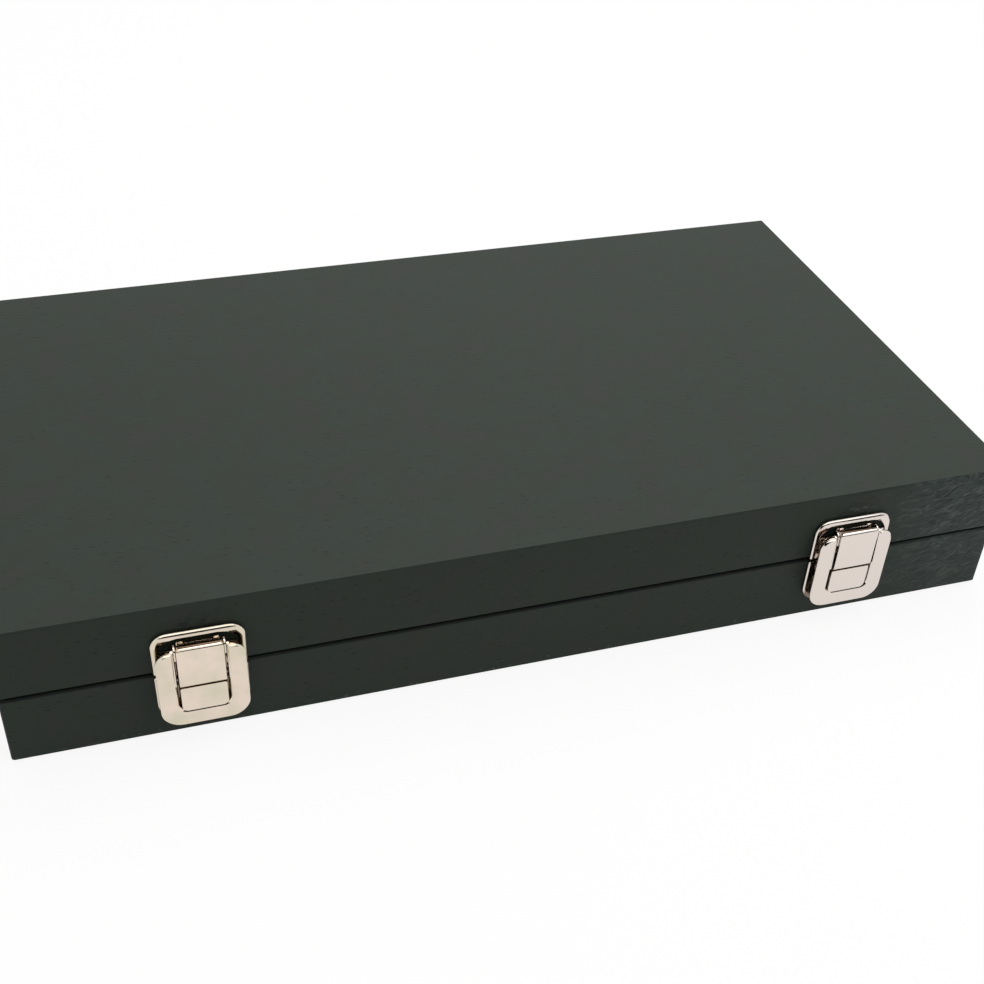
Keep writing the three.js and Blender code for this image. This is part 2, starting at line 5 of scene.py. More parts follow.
import bpy
from bpy.props import FloatProperty, FloatVectorProperty, IntProperty, PointerProperty
from bpy.types import Operator, Panel, PropertyGroup
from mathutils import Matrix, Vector, noise
from mathutils.bvhtree import BVHTree

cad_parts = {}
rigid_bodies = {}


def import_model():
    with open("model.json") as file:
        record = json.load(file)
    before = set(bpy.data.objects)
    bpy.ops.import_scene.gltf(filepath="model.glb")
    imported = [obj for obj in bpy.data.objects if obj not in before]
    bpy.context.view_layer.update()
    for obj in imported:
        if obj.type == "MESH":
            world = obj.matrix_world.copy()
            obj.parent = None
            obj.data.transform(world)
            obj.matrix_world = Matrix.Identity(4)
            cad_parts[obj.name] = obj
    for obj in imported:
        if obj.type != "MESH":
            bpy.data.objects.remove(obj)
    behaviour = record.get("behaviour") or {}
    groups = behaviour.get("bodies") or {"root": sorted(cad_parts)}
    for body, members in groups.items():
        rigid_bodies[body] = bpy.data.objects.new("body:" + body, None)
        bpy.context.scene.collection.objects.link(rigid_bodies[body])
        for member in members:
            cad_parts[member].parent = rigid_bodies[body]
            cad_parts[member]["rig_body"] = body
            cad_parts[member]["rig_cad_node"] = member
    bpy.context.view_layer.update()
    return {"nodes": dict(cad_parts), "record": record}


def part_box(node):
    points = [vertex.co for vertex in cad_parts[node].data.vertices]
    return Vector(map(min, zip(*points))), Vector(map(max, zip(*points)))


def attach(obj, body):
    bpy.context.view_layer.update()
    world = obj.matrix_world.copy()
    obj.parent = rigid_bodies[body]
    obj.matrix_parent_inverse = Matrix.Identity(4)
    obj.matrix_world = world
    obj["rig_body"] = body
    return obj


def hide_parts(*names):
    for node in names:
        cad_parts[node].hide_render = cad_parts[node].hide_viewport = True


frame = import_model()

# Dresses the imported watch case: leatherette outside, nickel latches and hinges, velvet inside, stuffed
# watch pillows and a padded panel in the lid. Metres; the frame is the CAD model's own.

bl_info = {
    "name": "Watch Case Dresser",
    "version": (1, 0, 0),
    "blender": (4, 5, 0),
    "location": "3D View > Sidebar > Watch Case",
    "description": "Covers, plates, lines and stuffs a watch case on its packed model",
    "category": "Object",
}

MM = 0.001
NODES = frame["nodes"]
BODIES = frame["record"]["behaviour"]["bodies"]
BASE_LOW, BASE_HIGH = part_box("base_covering")
LID_LOW, LID_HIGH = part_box("lid_covering")
PARTING = (BASE_HIGH.z + LID_LOW.z) / 2


def linear(code):
    """Linear RGB of an sRGB hex colour."""
    parts = [int(code[i : i + 2], 16) / 255 for i in (0, 2, 4)]
    return tuple(c / 12.92 if c <= 0.04045 else ((c + 0.055) / 1.055) ** 2.4 for c in parts)


def length(name, description, millimetres):
    """A length that a user would change, in the scene's unit."""
    return FloatProperty(
        name=name,
        description=description,
        default=millimetres * MM,
        min=0,
        unit="LENGTH",
        subtype="DISTANCE",
    )


def colour(name, description, code):
    """A colour that a user would change."""
    return FloatVectorProperty(
        name=name, description=description, default=linear(code), size=3, min=0, max=1, subtype="COLOR"
    )


def share(name, description, value):
    """A number from 0 to 1 that a user would change."""
    return FloatProperty(name=name, description=description, default=value, min=0, max=1, subtype="FACTOR")


class WatchCaseLeatherette(PropertyGroup):
    tint: colour("Colour", "Leatherette between its dents", "272f28")
    cloud_tint: colour("Clouds", "Leatherette in its browner clouds", "2b2c27")
    # Painted shade: the groove colour darkens the dents, the creases and blotches under the pulled end's
    # fold.
    groove_shade_tint: colour("Groove colour", "Leatherette in the bottom of its dents and creases", "171c18")
    # Painted shade: the fold colour darkens the folds.
    fold_shade_tint: colour("Fold colour", "Leatherette on its folds, dark with handling", "1d231f")
    # Painted highlight on the creases' ridges; real scuffs along the foot take the same colour.
    scuff_and_highlight_tint: colour("Scuffs", "Leatherette scuffed or ridged pale", "59605a")
    # Painted light: the pulled colour makes the front's right end paler and bluer, more so towards the top.
    pulled_and_lit_tint: colour("Pulled colour", "Leatherette stretched pale at the front's right end", "363e3d")
    # Painted shade: the lip colour darkens the rims' lips along the parting line.
    lip_shade_tint: colour("Lip colour", "Leatherette on the lips of the two rims", "0c0f0d")
    sheet_tint: colour("Bottom sheet", "Paper sheet under the base", "1e211f")
    grain: length("Grain", "Distance from dent to dent along the case", 4.4)
    relief: length("Relief", "Depth of a dent", 0.11)
    roughness: share("Roughness", "Roughness of the leatherette", 0.5)


class WatchCaseNickel(PropertyGroup):
    tint: colour("Colour", "Polished nickel plate", "e3d3c4")
    shade: colour("Shade", "Nickel plate where it is slightly dulled", "d3cab5")
    # Painted reflection: the cool colour makes the plate cooler towards the case's right end.
    cool_reflection_tint: colour("Cool colour", "Polished nickel plate towards the case's right end", "ded4cd")
    roughness: share("Roughness", "Roughness of the polished faces", 0.09)
    # Painted shade behind the levers and a painted dark reflection on the tongues' hook tops, in this
    # colour.
    painted_dark_tint: colour("Recess", "Nickel plate in the latch's hollows, dull with dust and oil", "6e6052")
    # Blackened steel, dark also as painted shade in the latches' slots where the pins show.
    wire_tint: colour("Pins", "Blackened steel of the latches' pins", "35322e")
    edge: length("Edge", "Rounding left on the edges by polishing", 0.2)
    screw_recess: length("Screw recess", "Depth of the cross in the screw heads", 0.45)


class WatchCaseInside(PropertyGroup):
    velvet_tint: colour("Lining", "Velvet of the lining and dividers", "17171a")
    pillow_tint: colour("Pillows", "Suede cloth of the watch pillows", "8d8b88")
    board_tint: colour("Board", "Fibreboard of the walls and boards", "8a6f52")
    thread_tint: colour("Thread", "Thread of the lid panel's stitches", "3a3a3e")
    voxel: length("Voxel", "Cell size of the stuffed pillow's mesh", 4.0)
    shrink: share("Shrink", "Size of the pillow before it is stuffed", 0.95)
    pressure: FloatProperty(name="Pressure", description="Pressure of the stuffing", default=4.0, min=0)
    cap: length("Swelling", "Furthest that the stuffing moves the cloth", 3.0)
    cord: length("Piping", "Radius of the cord in the seams", 0.8)
    stitch_pitch: length("Stitch pitch", "Distance from stitch to stitch", 3.6)
    copies_seed: IntProperty(name="Seed", description="Seed of the pillows' small differences", default=7)


class WatchCaseStudio(PropertyGroup):
    floor_tint: colour("Floor", "Pale studio floor", "f2f2f0")
    key: FloatProperty(name="Key", description="Power of the soft light above", default=26.0, min=0)
    fill: FloatProperty(name="Fill", description="Power of the soft light in front", default=2.2, min=0)
    ambient: share("Ambient", "Strength of the light from all round", 0.36)
    lens: FloatProperty(name="Lens", description="Focal length of the camera in mm", default=50.3096)


GROUPS = {
    "watch_case_leatherette": WatchCaseLeatherette,
    "watch_case_nickel": WatchCaseNickel,
    "watch_case_inside": WatchCaseInside,
    "watch_case_studio": WatchCaseStudio,
}


# Materials

MATH = "ShaderNodeMath"
NOISE = "ShaderNodeTexNoise"
RANGE = "ShaderNodeMapRange"
MAPPING = "ShaderNodeMapping"
MIX = "ShaderNodeMix"
SPLIT = "ShaderNodeSeparateXYZ"
# Sockets of a colour mix: its two colours, and its result.
FIRST, SECOND, MIXED = 6, 7, 2
# A range that falls from 1 to 0.
FALLING = {"To Min": 1.0, "To Max": 0.0}
# A face looks along an axis where its normal's part along that axis is greater than this.
FACING = 0.9
WHITE = (1, 1, 1, 1)


def add_node(owner, kind, feeds=None, **settings):
    """Adds a node to a material or world. A feed is a value for the socket, a node whose first output
    feeds it, or a node with the name or number of the output."""
    node = owner.node_tree.nodes.new(kind)
    for setting, value in settings.items():
        setattr(node, setting, value)
    for socket, feed in (feeds or {}).items():
        paired = isinstance(feed, tuple) and isinstance(feed[0], bpy.types.Node)
        source, output = feed if paired else (feed, 0)
        if isinstance(source, bpy.types.Node):
            owner.node_tree.links.new(source.outputs[output], node.inputs[socket])
        else:
            node.inputs[socket].default_value = feed
    return node


def new_material(name):
    material = bpy.data.materials.new(name)
    material.use_nodes = True
    material.node_tree.nodes.clear()
    return material


def finish_material(material, feeds):
    """Closes a material with its surface shader."""
    shader = add_node(material, "ShaderNodeBsdfPrincipled", feeds)
    add_node(material, "ShaderNodeOutputMaterial", {"Surface": shader})
    return material


def four(tint, level=1.0):
    """A colour for a socket, made darker or lighter by a level."""
    return (*(c * level for c in tint), 1)


def layered(material, ground, layers):
    """The colour of the ground with layers over it, each a share and a colour."""
    under = four(ground)
    for mask, tint in layers:
        mix = {"Factor": mask, FIRST: under, SECOND: four(tint)}
        under = (add_node(material, MIX, mix, data_type="RGBA"), MIXED)
    return under


def near_strikes(material, split):
    """1 on the front just above the middle of each strike, fading round it."""
    low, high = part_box("latch_right_strike")
    spread, above = (low.x + high.x) / 2, high.z + 2.2 * MM
    half_width, half_height = 10 * MM, 3.4 * MM
    across = add_node(material, MATH, {0: (split, "X")}, operation="ABSOLUTE")
    across = add_node(material, MATH, {0: across, 1: spread}, operation="SUBTRACT")
    across = add_node(material, MATH, {0: across, 1: half_width}, operation="DIVIDE")
    across = add_node(material, MATH, {0: across, 1: across}, operation="MULTIPLY")
    up = add_node(material, MATH, {0: (split, "Z"), 1: above}, operation="SUBTRACT")
    up = add_node(material, MATH, {0: up, 1: half_height}, operation="DIVIDE")
    off = add_node(material, MATH, {0: up, 1: up, 2: across}, operation="MULTIPLY_ADD")
    return add_node(material, RANGE, {"Value": off, "From Min": 0.2, "From Max": 1.0, **FALLING})


def mitre_lines(material, split, flat):
    """1 on a narrow line where the turned-in sheets meet, at the corners of each rim."""
    half_line, lid_face = 0.25 * MM, LID_HIGH.z - 3 * MM
    across = add_node(material, MATH, {0: (split, "X")}, operation="ABSOLUTE")
    deep = add_node(material, MATH, {0: (split, "Y")}, operation="ABSOLUTE")
    off = add_node(material, MATH, {0: across, 1: deep}, operation="SUBTRACT")
    lead = BASE_HIGH.x - BASE_HIGH.y
    line = add_node(material, MATH, {0: off, 1: lead, 2: half_line}, operation="COMPARE")
    level = add_node(material, MATH, {0: flat, 1: FACING}, operation="GREATER_THAN")
    below = add_node(material, MATH, {0: (split, "Z"), 1: lid_face}, operation="LESS_THAN")
    for mask in (level, below):
        line = add_node(material, MATH, {0: line, 1: mask}, operation="MULTIPLY")
    return line


def dents_of_grain(material, settings, place):
    """Short dents of the pressed grain, sparse and in loose groups, 1 in the middle of each. They run
    across the case and lean a little to the front."""
    # The real dents are about 1.5 mm by 0.3 mm; they are drawn about 2 mm by 0.8 mm so that they show.
    along, aside = settings.grain, 0.42 * settings.grain
    rolled = add_node(
        material,
        MAPPING,
        {"Vector": place, "Rotation": (0, 0, math.radians(-12)), "Scale": (along, aside, aside)},
        vector_type="TEXTURE",
    )
    cells = add_node(material, "ShaderNodeTexVoronoi", {"Vector": rolled, "Scale": 1.0})
    ends = {"From Min": 0.08, "From Max": 0.36, **FALLING}
    dent = add_node(material, RANGE, {"Value": cells, **ends}, interpolation_type="SMOOTHSTEP")
    chance = add_node(material, "ShaderNodeSeparateColor", {"Color": (cells, "Color")})
    picked = add_node(material, RANGE, {"Value": chance, "From Min": 0.2, "From Max": 0.6})
    groups = add_node(material, NOISE, {"Vector": place, "Scale": 1 / (13 * MM), "Detail": 2.0})
    grouped = add_node(material, RANGE, {"Value": groups, "From Min": 0.4, "From Max": 0.6, "To Min": 0.3})
    for mask in (picked, grouped):
        dent = add_node(material, MATH, {0: dent, 1: mask}, operation="MULTIPLY")
    return dent


def crease_waves(material, place):
    """Waves of the pulled sheet, low in its creases and high on their ridges."""
    # The creases lean up to the right; they are 3 to 7 mm long and about 3 mm apart.
    slant = {"Rotation": (0, math.radians(-11), 0), "Scale": (7 * MM, 2.9 * MM, 2.9 * MM)}
    pulled = add_node(material, MAPPING, {"Vector": place, **slant}, vector_type="TEXTURE")
    shape = {"Scale": 1.0, "Detail": 1.6, "Roughness": 0.5, "Distortion": 1.5}
    return add_node(material, NOISE, {"Vector": pulled, **shape})


def pulled_shares(material, split, facing):
    """Where the sheet is not pulled, 1 away from the case's right end, and then three shares of the front:
    its right end, the stretch there, which grows towards the top and also carries painted light, and the
    stretch with the crumples."""
    # The front, with the outer half of its rounded folds.
    front = add_node(material, MATH, {0: (facing, "Y"), 1: -0.5}, operation="LESS_THAN")
    ends = {"From Min": 0.68 * BASE_HIGH.x, "From Max": 0.86 * BASE_HIGH.x}
    end = add_node(material, RANGE, {"Value": (split, "X"), **ends})
    unpulled = add_node(material, MATH, {0: 1.0, 1: end}, operation="SUBTRACT")
    front_end = add_node(material, MATH, {0: end, 1: front}, operation="MULTIPLY")
    ends = {"From Min": 0.0, "From Max": LID_HIGH.z, "To Min": 0.45}
    rise = add_node(material, RANGE, {"Value": (split, "Z"), **ends})
    # The stretch share also carries the painted light of the pulled end, paler towards the top.
    stretched = add_node(material, MATH, {0: front_end, 1: rise}, operation="MULTIPLY")
    crumpled = add_node(material, MATH, {0: near_strikes(material, split), 1: front}, operation="MULTIPLY")
    creased = add_node(material, MATH, {0: stretched, 1: crumpled}, operation="MAXIMUM")
    return unpulled, front_end, stretched, creased


def crease_shade_share(material, split, waves, spots, creased, front_end):
    """1 in the creases, for painted shade there, and in blotches of painted shadow just under the fold of
    the pulled end.
    """
    deep = add_node(material, RANGE, {"Value": waves, "From Min": 0.34, "From Max": 0.5, **FALLING})
    deep = add_node(material, MATH, {0: deep, 1: creased}, operation="MULTIPLY")
    blotches = add_node(material, RANGE, {"Value": spots, "From Min": 0.42, "From Max": 0.58})
    ends = {"From Min": LID_HIGH.z - 5 * MM, "From Max": LID_HIGH.z - MM}
    under_fold = add_node(material, RANGE, {"Value": (split, "Z"), **ends})
    for mask in (under_fold, front_end):
        blotches = add_node(material, MATH, {0: blotches, 1: mask}, operation="MULTIPLY")
    return add_node(material, MATH, {0: deep, 1: blotches}, operation="MAXIMUM")


def ridge_highlight_and_scuff_share(material, split, waves, spots, creased):
    """Up to 0.5 on the creases' ridges, towards the right end, as painted highlights, and 0.6 on real
    scuffs along the foot.
    """
    ridges = add_node(material, RANGE, {"Value": waves, "From Min": 0.56, "From Max": 0.7, "To Max": 0.5})
    ends = {"From Min": 0.0, "From Max": BASE_HIGH.x / 2, "To Min": 0.1}
    towards_right = add_node(material, RANGE, {"Value": (split, "X"), **ends})
    for mask in (creased, towards_right):
        ridges = add_node(material, MATH, {0: ridges, 1: mask}, operation="MULTIPLY")
    scuffs = add_node(material, RANGE, {"Value": spots, "From Min": 0.6, "From Max": 0.72, "To Max": 0.6})
    foot = add_node(material, MATH, {0: (split, "Z"), 1: 3 * MM}, operation="LESS_THAN")
    scuffs = add_node(material, MATH, {0: scuffs, 1: foot}, operation="MULTIPLY")
    return add_node(material, MATH, {0: ridges, 1: scuffs}, operation="MAXIMUM")


def fold_shade_share(material, flats, unpulled):
    """0.75 on the folds, for painted shade along them, but not where the sheet is pulled."""
    flattest = flats[0]
    for flat in flats[1:]:
        flattest = add_node(material, MATH, {0: flattest, 1: flat}, operation="MAXIMUM")
    fold = add_node(material, MATH, {0: flattest, 1: 0.96}, operation="LESS_THAN")
    for mask in (0.75, unpulled):
        fold = add_node(material, MATH, {0: fold, 1: mask}, operation="MULTIPLY")
    return fold


def lip_shade_share(material, split, flat, unpulled):
    """1 on the upright lips of the two rims, for painted shade there, but not where the sheet is pulled."""
    over = add_node(material, MATH, {0: (split, "Z"), 1: PARTING}, operation="SUBTRACT")
    over = add_node(material, MATH, {0: over}, operation="ABSOLUTE")
    half_gap = (LID_LOW.z - BASE_HIGH.z) / 2
    ends = {"From Min": half_gap + 0.3 * MM, "From Max": half_gap + 0.6 * MM, **FALLING}
    lip = add_node(material, RANGE, {"Value": over, **ends})
    upright = add_node(material, MATH, {0: flat, 1: FACING}, operation="LESS_THAN")
    for mask in (upright, unpulled):
        lip = add_node(material, MATH, {0: lip, 1: mask}, operation="MULTIPLY")
    return lip


def leatherette_material(settings):
    """Vinyl leatherette, calendered and pressed: a smooth satin with sparse short dents and faint clouds of
    colour. It is creased at the front's right end, where the sheet was pulled, and painted paler there as
    painted light; it is crumpled above the strikes. Painted shade darkens its dents, creases, folds and
    the lips of its rims, and painted highlights pale the ridges of the creases."""
    material = new_material("pressed_vinyl_leatherette")
    coords = add_node(material, "ShaderNodeTexCoord")
    place = (coords, "Object")
    split = add_node(material, SPLIT, {"Vector": place})
    facing = add_node(material, SPLIT, {"Vector": (coords, "Normal")})
    flats = [add_node(material, MATH, {0: (facing, axis)}, operation="ABSOLUTE") for axis in "XYZ"]
    dents = dents_of_grain(material, settings, place)
    waves = crease_waves(material, place)
    fine = {"Scale": 1 / (0.7 * MM), "Detail": 2.0, "Roughness": 0.6}
    pores = add_node(material, NOISE, {"Vector": place, **fine})
    spots = add_node(material, NOISE, {"Vector": place, "Scale": 1 / (2.4 * MM), "Detail": 3.0})
    unpulled, front_end, stretched, creased = pulled_shares(material, split, facing)
    clouds = add_node(material, NOISE, {"Vector": place, "Scale": 1 / (15 * MM), "Detail": 2.0})
    brown = add_node(material, RANGE, {"Value": clouds, "From Min": 0.42, "From Max": 0.66, "To Max": 0.6})
    # Painted shade in the creases, the dents and under the fold, at up to 0.7 of the groove colour.
    deep = crease_shade_share(material, split, waves, spots, creased, front_end)
    deep = add_node(material, MATH, {0: deep, 1: dents}, operation="MAXIMUM")
    deep = add_node(material, MATH, {0: deep, 1: 0.7}, operation="MULTIPLY")
    layers = (
        (brown, settings.cloud_tint),
        # Painted light at the front's right end.
        (stretched, settings.pulled_and_lit_tint),
        # Painted shade in the dents and creases and painted shadow under the fold.
        (deep, settings.groove_shade_tint),
        # Painted highlights on the creases' ridges, and real scuffs along the foot.
        (ridge_highlight_and_scuff_share(material, split, waves, spots, creased), settings.scuff_and_highlight_tint),
        # Painted shade along the folds.
        (fold_shade_share(material, flats, unpulled), settings.fold_shade_tint),
        # Painted shade on the rims' lips.
        (lip_shade_share(material, split, flats[2], unpulled), settings.lip_shade_tint),
    )
    ends = {"To Min": settings.roughness + 0.06, "To Max": settings.roughness - 0.04}
    gloss = add_node(material, RANGE, {"Value": pores, **ends})
    # Heights of the relief, in depths of a dent.
    height = add_node(material, MATH, {0: pores, 1: 0.12}, operation="MULTIPLY")
    creases = add_node(material, MATH, {0: creased, 1: waves}, operation="MULTIPLY")
    mitres = mitre_lines(material, split, flats[2])
    for mask, rise in ((dents, -1.0), (creases, 7.5), (mitres, -2.0)):
        height = add_node(material, MATH, {0: mask, 1: rise, 2: height}, operation="MULTIPLY_ADD")
    relief = {"Height": height, "Strength": 0.8, "Distance": settings.relief}
    bump = add_node(material, "ShaderNodeBump", relief)
    return finish_material(
        material,
        {
            "Base Color": layered(material, settings.tint, layers),
            "Roughness": gloss,
            "IOR": 1.52,
            "Specular IOR Level": 0.13,
            "Normal": bump,
        },
    )


def fibrous_material(name, tint, levels, fibres, relief, roughness):
    """A matt material of one colour, darker and paler by its fibres, which are its relief too. levels
    are those of its darkest and palest fibres, and relief is the bump's strength and depth."""
    material = new_material(name)
    coords = add_node(material, "ShaderNodeTexCoord")
    felt = add_node(material, NOISE, {"Vector": (coords, "Object"), **fibres})
    dark, pale = (four(tint, level) for level in levels)
    mixed = add_node(material, MIX, {"Factor": felt, FIRST: dark, SECOND: pale}, data_type="RGBA")
    strength, depth = relief
    bump = add_node(material, "ShaderNodeBump", {"Height": felt, "Strength": strength, "Distance": depth})
    return finish_material(
        material, {"Base Color": (mixed, MIXED), "Roughness": roughness, "Normal": bump}
    )


def paper_material(settings):
    """Black lining paper, calendered: flat, with a faint felt of fibres."""
    fibres = {"Scale": 1 / (1.5 * MM), "Detail": 5.0, "Roughness": 0.7, "Distortion": 1.2}
    relief = (0.5, 0.05 * MM)
    return fibrous_material("black_lining_paper", settings.sheet_tint, (0.7, 1.3), fibres, relief, 0.85)


def fibreboard_material(settings):
    """Medium fibreboard, sawn: matt brown with short fibres and darker specks."""
    fibres = {"Scale": 1 / (1.2 * MM), "Detail": 5.0, "Roughness": 0.75, "Distortion": 0.8}
    relief = (0.6, 0.1 * MM)
    return fibrous_material("sawn_fibreboard", settings.board_tint, (0.6, 1.35), fibres, relief, 0.9)


def thread_material(settings):
    """Spun polyester thread: dull, with a fine twist."""
    twist = {"Scale": 1 / (0.4 * MM), "Detail": 2.0}
    relief = (0.5, 0.05 * MM)
    return fibrous_material("spun_polyester_thread", settings.thread_tint, (0.7, 1.3), twist, relief, 0.7)


def recess_shade_share(material, place):
    """1 behind the lever of each latch, for painted shade there."""
    low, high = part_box("latch_right_base_plate")
    # The painted shade lies within the plate's rim, and deepens from the first depth to the second.
    rim, rim_end = 14.7 * MM, 15.4 * MM
    first, second = BASE_LOW.y - 4.6 * MM, BASE_LOW.y - 3.4 * MM
    split = add_node(material, SPLIT, {"Vector": place})
    aside = add_node(material, MATH, {0: (split, "X")}, operation="ABSOLUTE")
    aside = add_node(material, MATH, {0: aside, 1: (low.x + high.x) / 2}, operation="SUBTRACT")
    aside = add_node(material, MATH, {0: aside}, operation="ABSOLUTE")
    within = add_node(material, RANGE, {"Value": aside, "From Min": rim, "From Max": rim_end, **FALLING})
    deep = add_node(material, RANGE, {"Value": (split, "Y"), "From Min": first, "From Max": second})
    # A noise makes the painted shade patchy.
    patchy_shade = add_node(material, NOISE, {"Vector": place, "Scale": 1 / (8 * MM), "Detail": 2.0})
    patchy_shade = add_node(material, RANGE, {"Value": patchy_shade, "From Min": 0.3, "From Max": 0.7, "To Min": 0.82})
    for mask in (deep, patchy_shade):
        within = add_node(material, MATH, {0: within, 1: mask}, operation="MULTIPLY")
    return within


def hook_reflection_share(material, coords):
    """1 on the flat top of a tongue's hook, for a painted dark reflection there."""
    split = add_node(material, SPLIT, {"Vector": (coords, "Object")})
    facing = add_node(material, SPLIT, {"Vector": (coords, "Normal")})
    flat = add_node(material, RANGE, {"Value": (facing, "Z"), "From Min": 0.88, "From Max": 0.97})
    ends = {"From Min": BASE_LOW.y - 5.8 * MM, "From Max": BASE_LOW.y - 5.2 * MM}
    back = add_node(material, RANGE, {"Value": (split, "Y"), **ends})
    return add_node(material, MATH, {0: flat, 1: back}, operation="MULTIPLY")


def rolled_rim(material, coords):
    """The normal of a strike whose top rim is rolled over: the rim leans up, and more so at its outside."""
    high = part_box("latch_right_strike")[1]
    split = add_node(material, SPLIT, {"Vector": (coords, "Object")})
    facing = add_node(material, SPLIT, {"Vector": (coords, "Normal")})
    front = add_node(material, MATH, {0: (facing, "Y"), 1: -FACING}, operation="LESS_THAN")
    above = add_node(material, MATH, {0: (split, "Z"), 1: high.z - 2.7 * MM}, operation="GREATER_THAN")
    ends = {"From Min": high.z - 2.4 * MM, "From Max": high.z - 0.5 * MM, "To Min": 0.3, "To Max": 0.46}
    lean = add_node(material, RANGE, {"Value": (split, "Z"), **ends})
    for mask in (front, above):
        lean = add_node(material, MATH, {0: lean, 1: mask}, operation="MULTIPLY")
    up = add_node(material, "ShaderNodeCombineXYZ", {"Z": lean})
    up = add_node(
        material,
        "ShaderNodeVectorTransform",
        {"Vector": up},
        vector_type="VECTOR",
        convert_from="OBJECT",
        convert_to="WORLD",
    )
    geometry = add_node(material, "ShaderNodeNewGeometry")
    leaning = add_node(
        material, "ShaderNodeVectorMath", {0: (geometry, "Normal"), 1: up}, operation="ADD"
    )
    return add_node(material, "ShaderNodeVectorMath", {0: leaning}, operation="NORMALIZE")


def nickel_material(name, settings, recess=False, hook=False, rolled=False):
    """Bright nickel plate on pressed steel, polished: warm mirror with faint drawn lines and dulled clouds,
    and a painted reflection that makes it cooler towards the case's right end. recess paints shade on
    the plates behind the lever and hook a dark reflection on the tongues' tops; rolled rounds the
    strikes' top rim."""
    material = new_material(name)
    coords = add_node(material, "ShaderNodeTexCoord")
    place = (coords, "Object")
    broad = {"Scale": 1 / (9 * MM), "Detail": 3.0, "Roughness": 0.5}
    clouds = add_node(material, NOISE, {"Vector": place, **broad})
    # Polishing lines about 0.3 mm apart, along the latch.
    upright = {"Scale": (0.3 * MM, 0.3 * MM, 9 * MM)}
    drawn = add_node(material, MAPPING, {"Vector": place, **upright}, vector_type="TEXTURE")
    lines = add_node(material, NOISE, {"Vector": drawn, "Scale": 1.0, "Detail": 2.0, "Roughness": 0.6})
    patches = add_node(material, RANGE, {"Value": clouds, "From Min": 0.35, "From Max": 0.65})
    split = add_node(material, SPLIT, {"Vector": place})
    ends = {"From Min": BASE_LOW.x / 2, "From Max": 0.75 * BASE_HIGH.x}
    cool_reflection = add_node(material, RANGE, {"Value": (split, "X"), **ends})
    # The plate turns cooler towards the right end: a painted reflection.
    layers = [(patches, settings.tint), (cool_reflection, settings.cool_reflection_tint)]
    # Painted shade on the plates behind the lever.
    if recess:
        layers.append((recess_shade_share(material, place), settings.painted_dark_tint))
    # A painted dark reflection on the tongues' hook tops.
    if hook:
        layers.append((hook_reflection_share(material, coords), settings.painted_dark_tint))
    tint = layered(material, settings.shade, layers)
    dull = add_node(
        material, MATH, {0: clouds, 1: 0.06, 2: settings.roughness - 0.04}, operation="MULTIPLY_ADD"
    )
    rough = add_node(material, MATH, {0: lines, 1: 0.04, 2: dull}, operation="MULTIPLY_ADD")
    bump = add_node(material, "ShaderNodeBump", {"Height": lines, "Strength": 0.25, "Distance": 0.01 * MM})
    if rolled:
        material.node_tree.links.new(rolled_rim(material, coords).outputs[0], bump.inputs["Normal"])
    return finish_material(
        material, {"Base Color": tint, "Metallic": 1.0, "Roughness": rough, "Normal": bump}
    )


def wire_material(settings):
    """Steel wire, drawn and blackened: dull and dark, with fine rings left by the die. The dark colour also
    stands in for the shade in the latches' slots, where the pins show: painted shade.
    """
    material = new_material("blackened_steel_wire")
    coords = add_node(material, "ShaderNodeTexCoord")
    rings = add_node(
        material, NOISE, {"Vector": (coords, "Object"), "Scale": 1 / (0.4 * MM), "Detail": 2.0}
    )
    dark, pale = four(settings.wire_tint, 0.7), four(settings.wire_tint, 1.3)
    tint = add_node(material, MIX, {"Factor": rings, FIRST: dark, SECOND: pale}, data_type="RGBA")
    rough = add_node(material, RANGE, {"Value": rings, "To Min": 0.35, "To Max": 0.5})
    bump = add_node(material, "ShaderNodeBump", {"Height": rings, "Strength": 0.3, "Distance": 0.01 * MM})
    return finish_material(
        material, {"Base Color": (tint, MIXED), "Metallic": 1.0, "Roughness": rough, "Normal": bump}
    )


def velvet_material(settings):
    """Cotton velvet glued to card: near black, with a soft light edge and brushed patches in the pile."""
    material = new_material("black_cotton_velvet")
    coords = add_node(material, "ShaderNodeTexCoord")
    place = (coords, "Object")
    brushed = add_node(
        material,
        NOISE,
        {"Vector": place, "Scale": 1 / (22 * MM), "Detail": 4.0, "Roughness": 0.6, "Distortion": 0.6},
    )
    # Pile about 0.3 mm across, drawn at 0.7 mm so that it shows.
    pile = add_node(
        material, NOISE, {"Vector": place, "Scale": 1 / (0.7 * MM), "Detail": 3.0, "Roughness": 0.7}
    )
    dark, pale = four(settings.velvet_tint, 0.5), four(settings.velvet_tint, 1.9)
    tint = add_node(material, MIX, {"Factor": brushed, FIRST: dark, SECOND: pale}, data_type="RGBA")
    height = add_node(material, MATH, {0: brushed, 1: 0.6, 2: pile}, operation="MULTIPLY_ADD")
    bump = add_node(material, "ShaderNodeBump", {"Height": height, "Strength": 0.7, "Distance": 0.15 * MM})
    return finish_material(
        material,
        {
            "Base Color": (tint, MIXED),
            "Roughness": 0.95,
            "Sheen Weight": 0.35,
            "Sheen Roughness": 0.35,
            "Sheen Tint": four(linear("8a8a94")),
            "Specular IOR Level": 0.2,
            "Normal": bump,
        },
    )


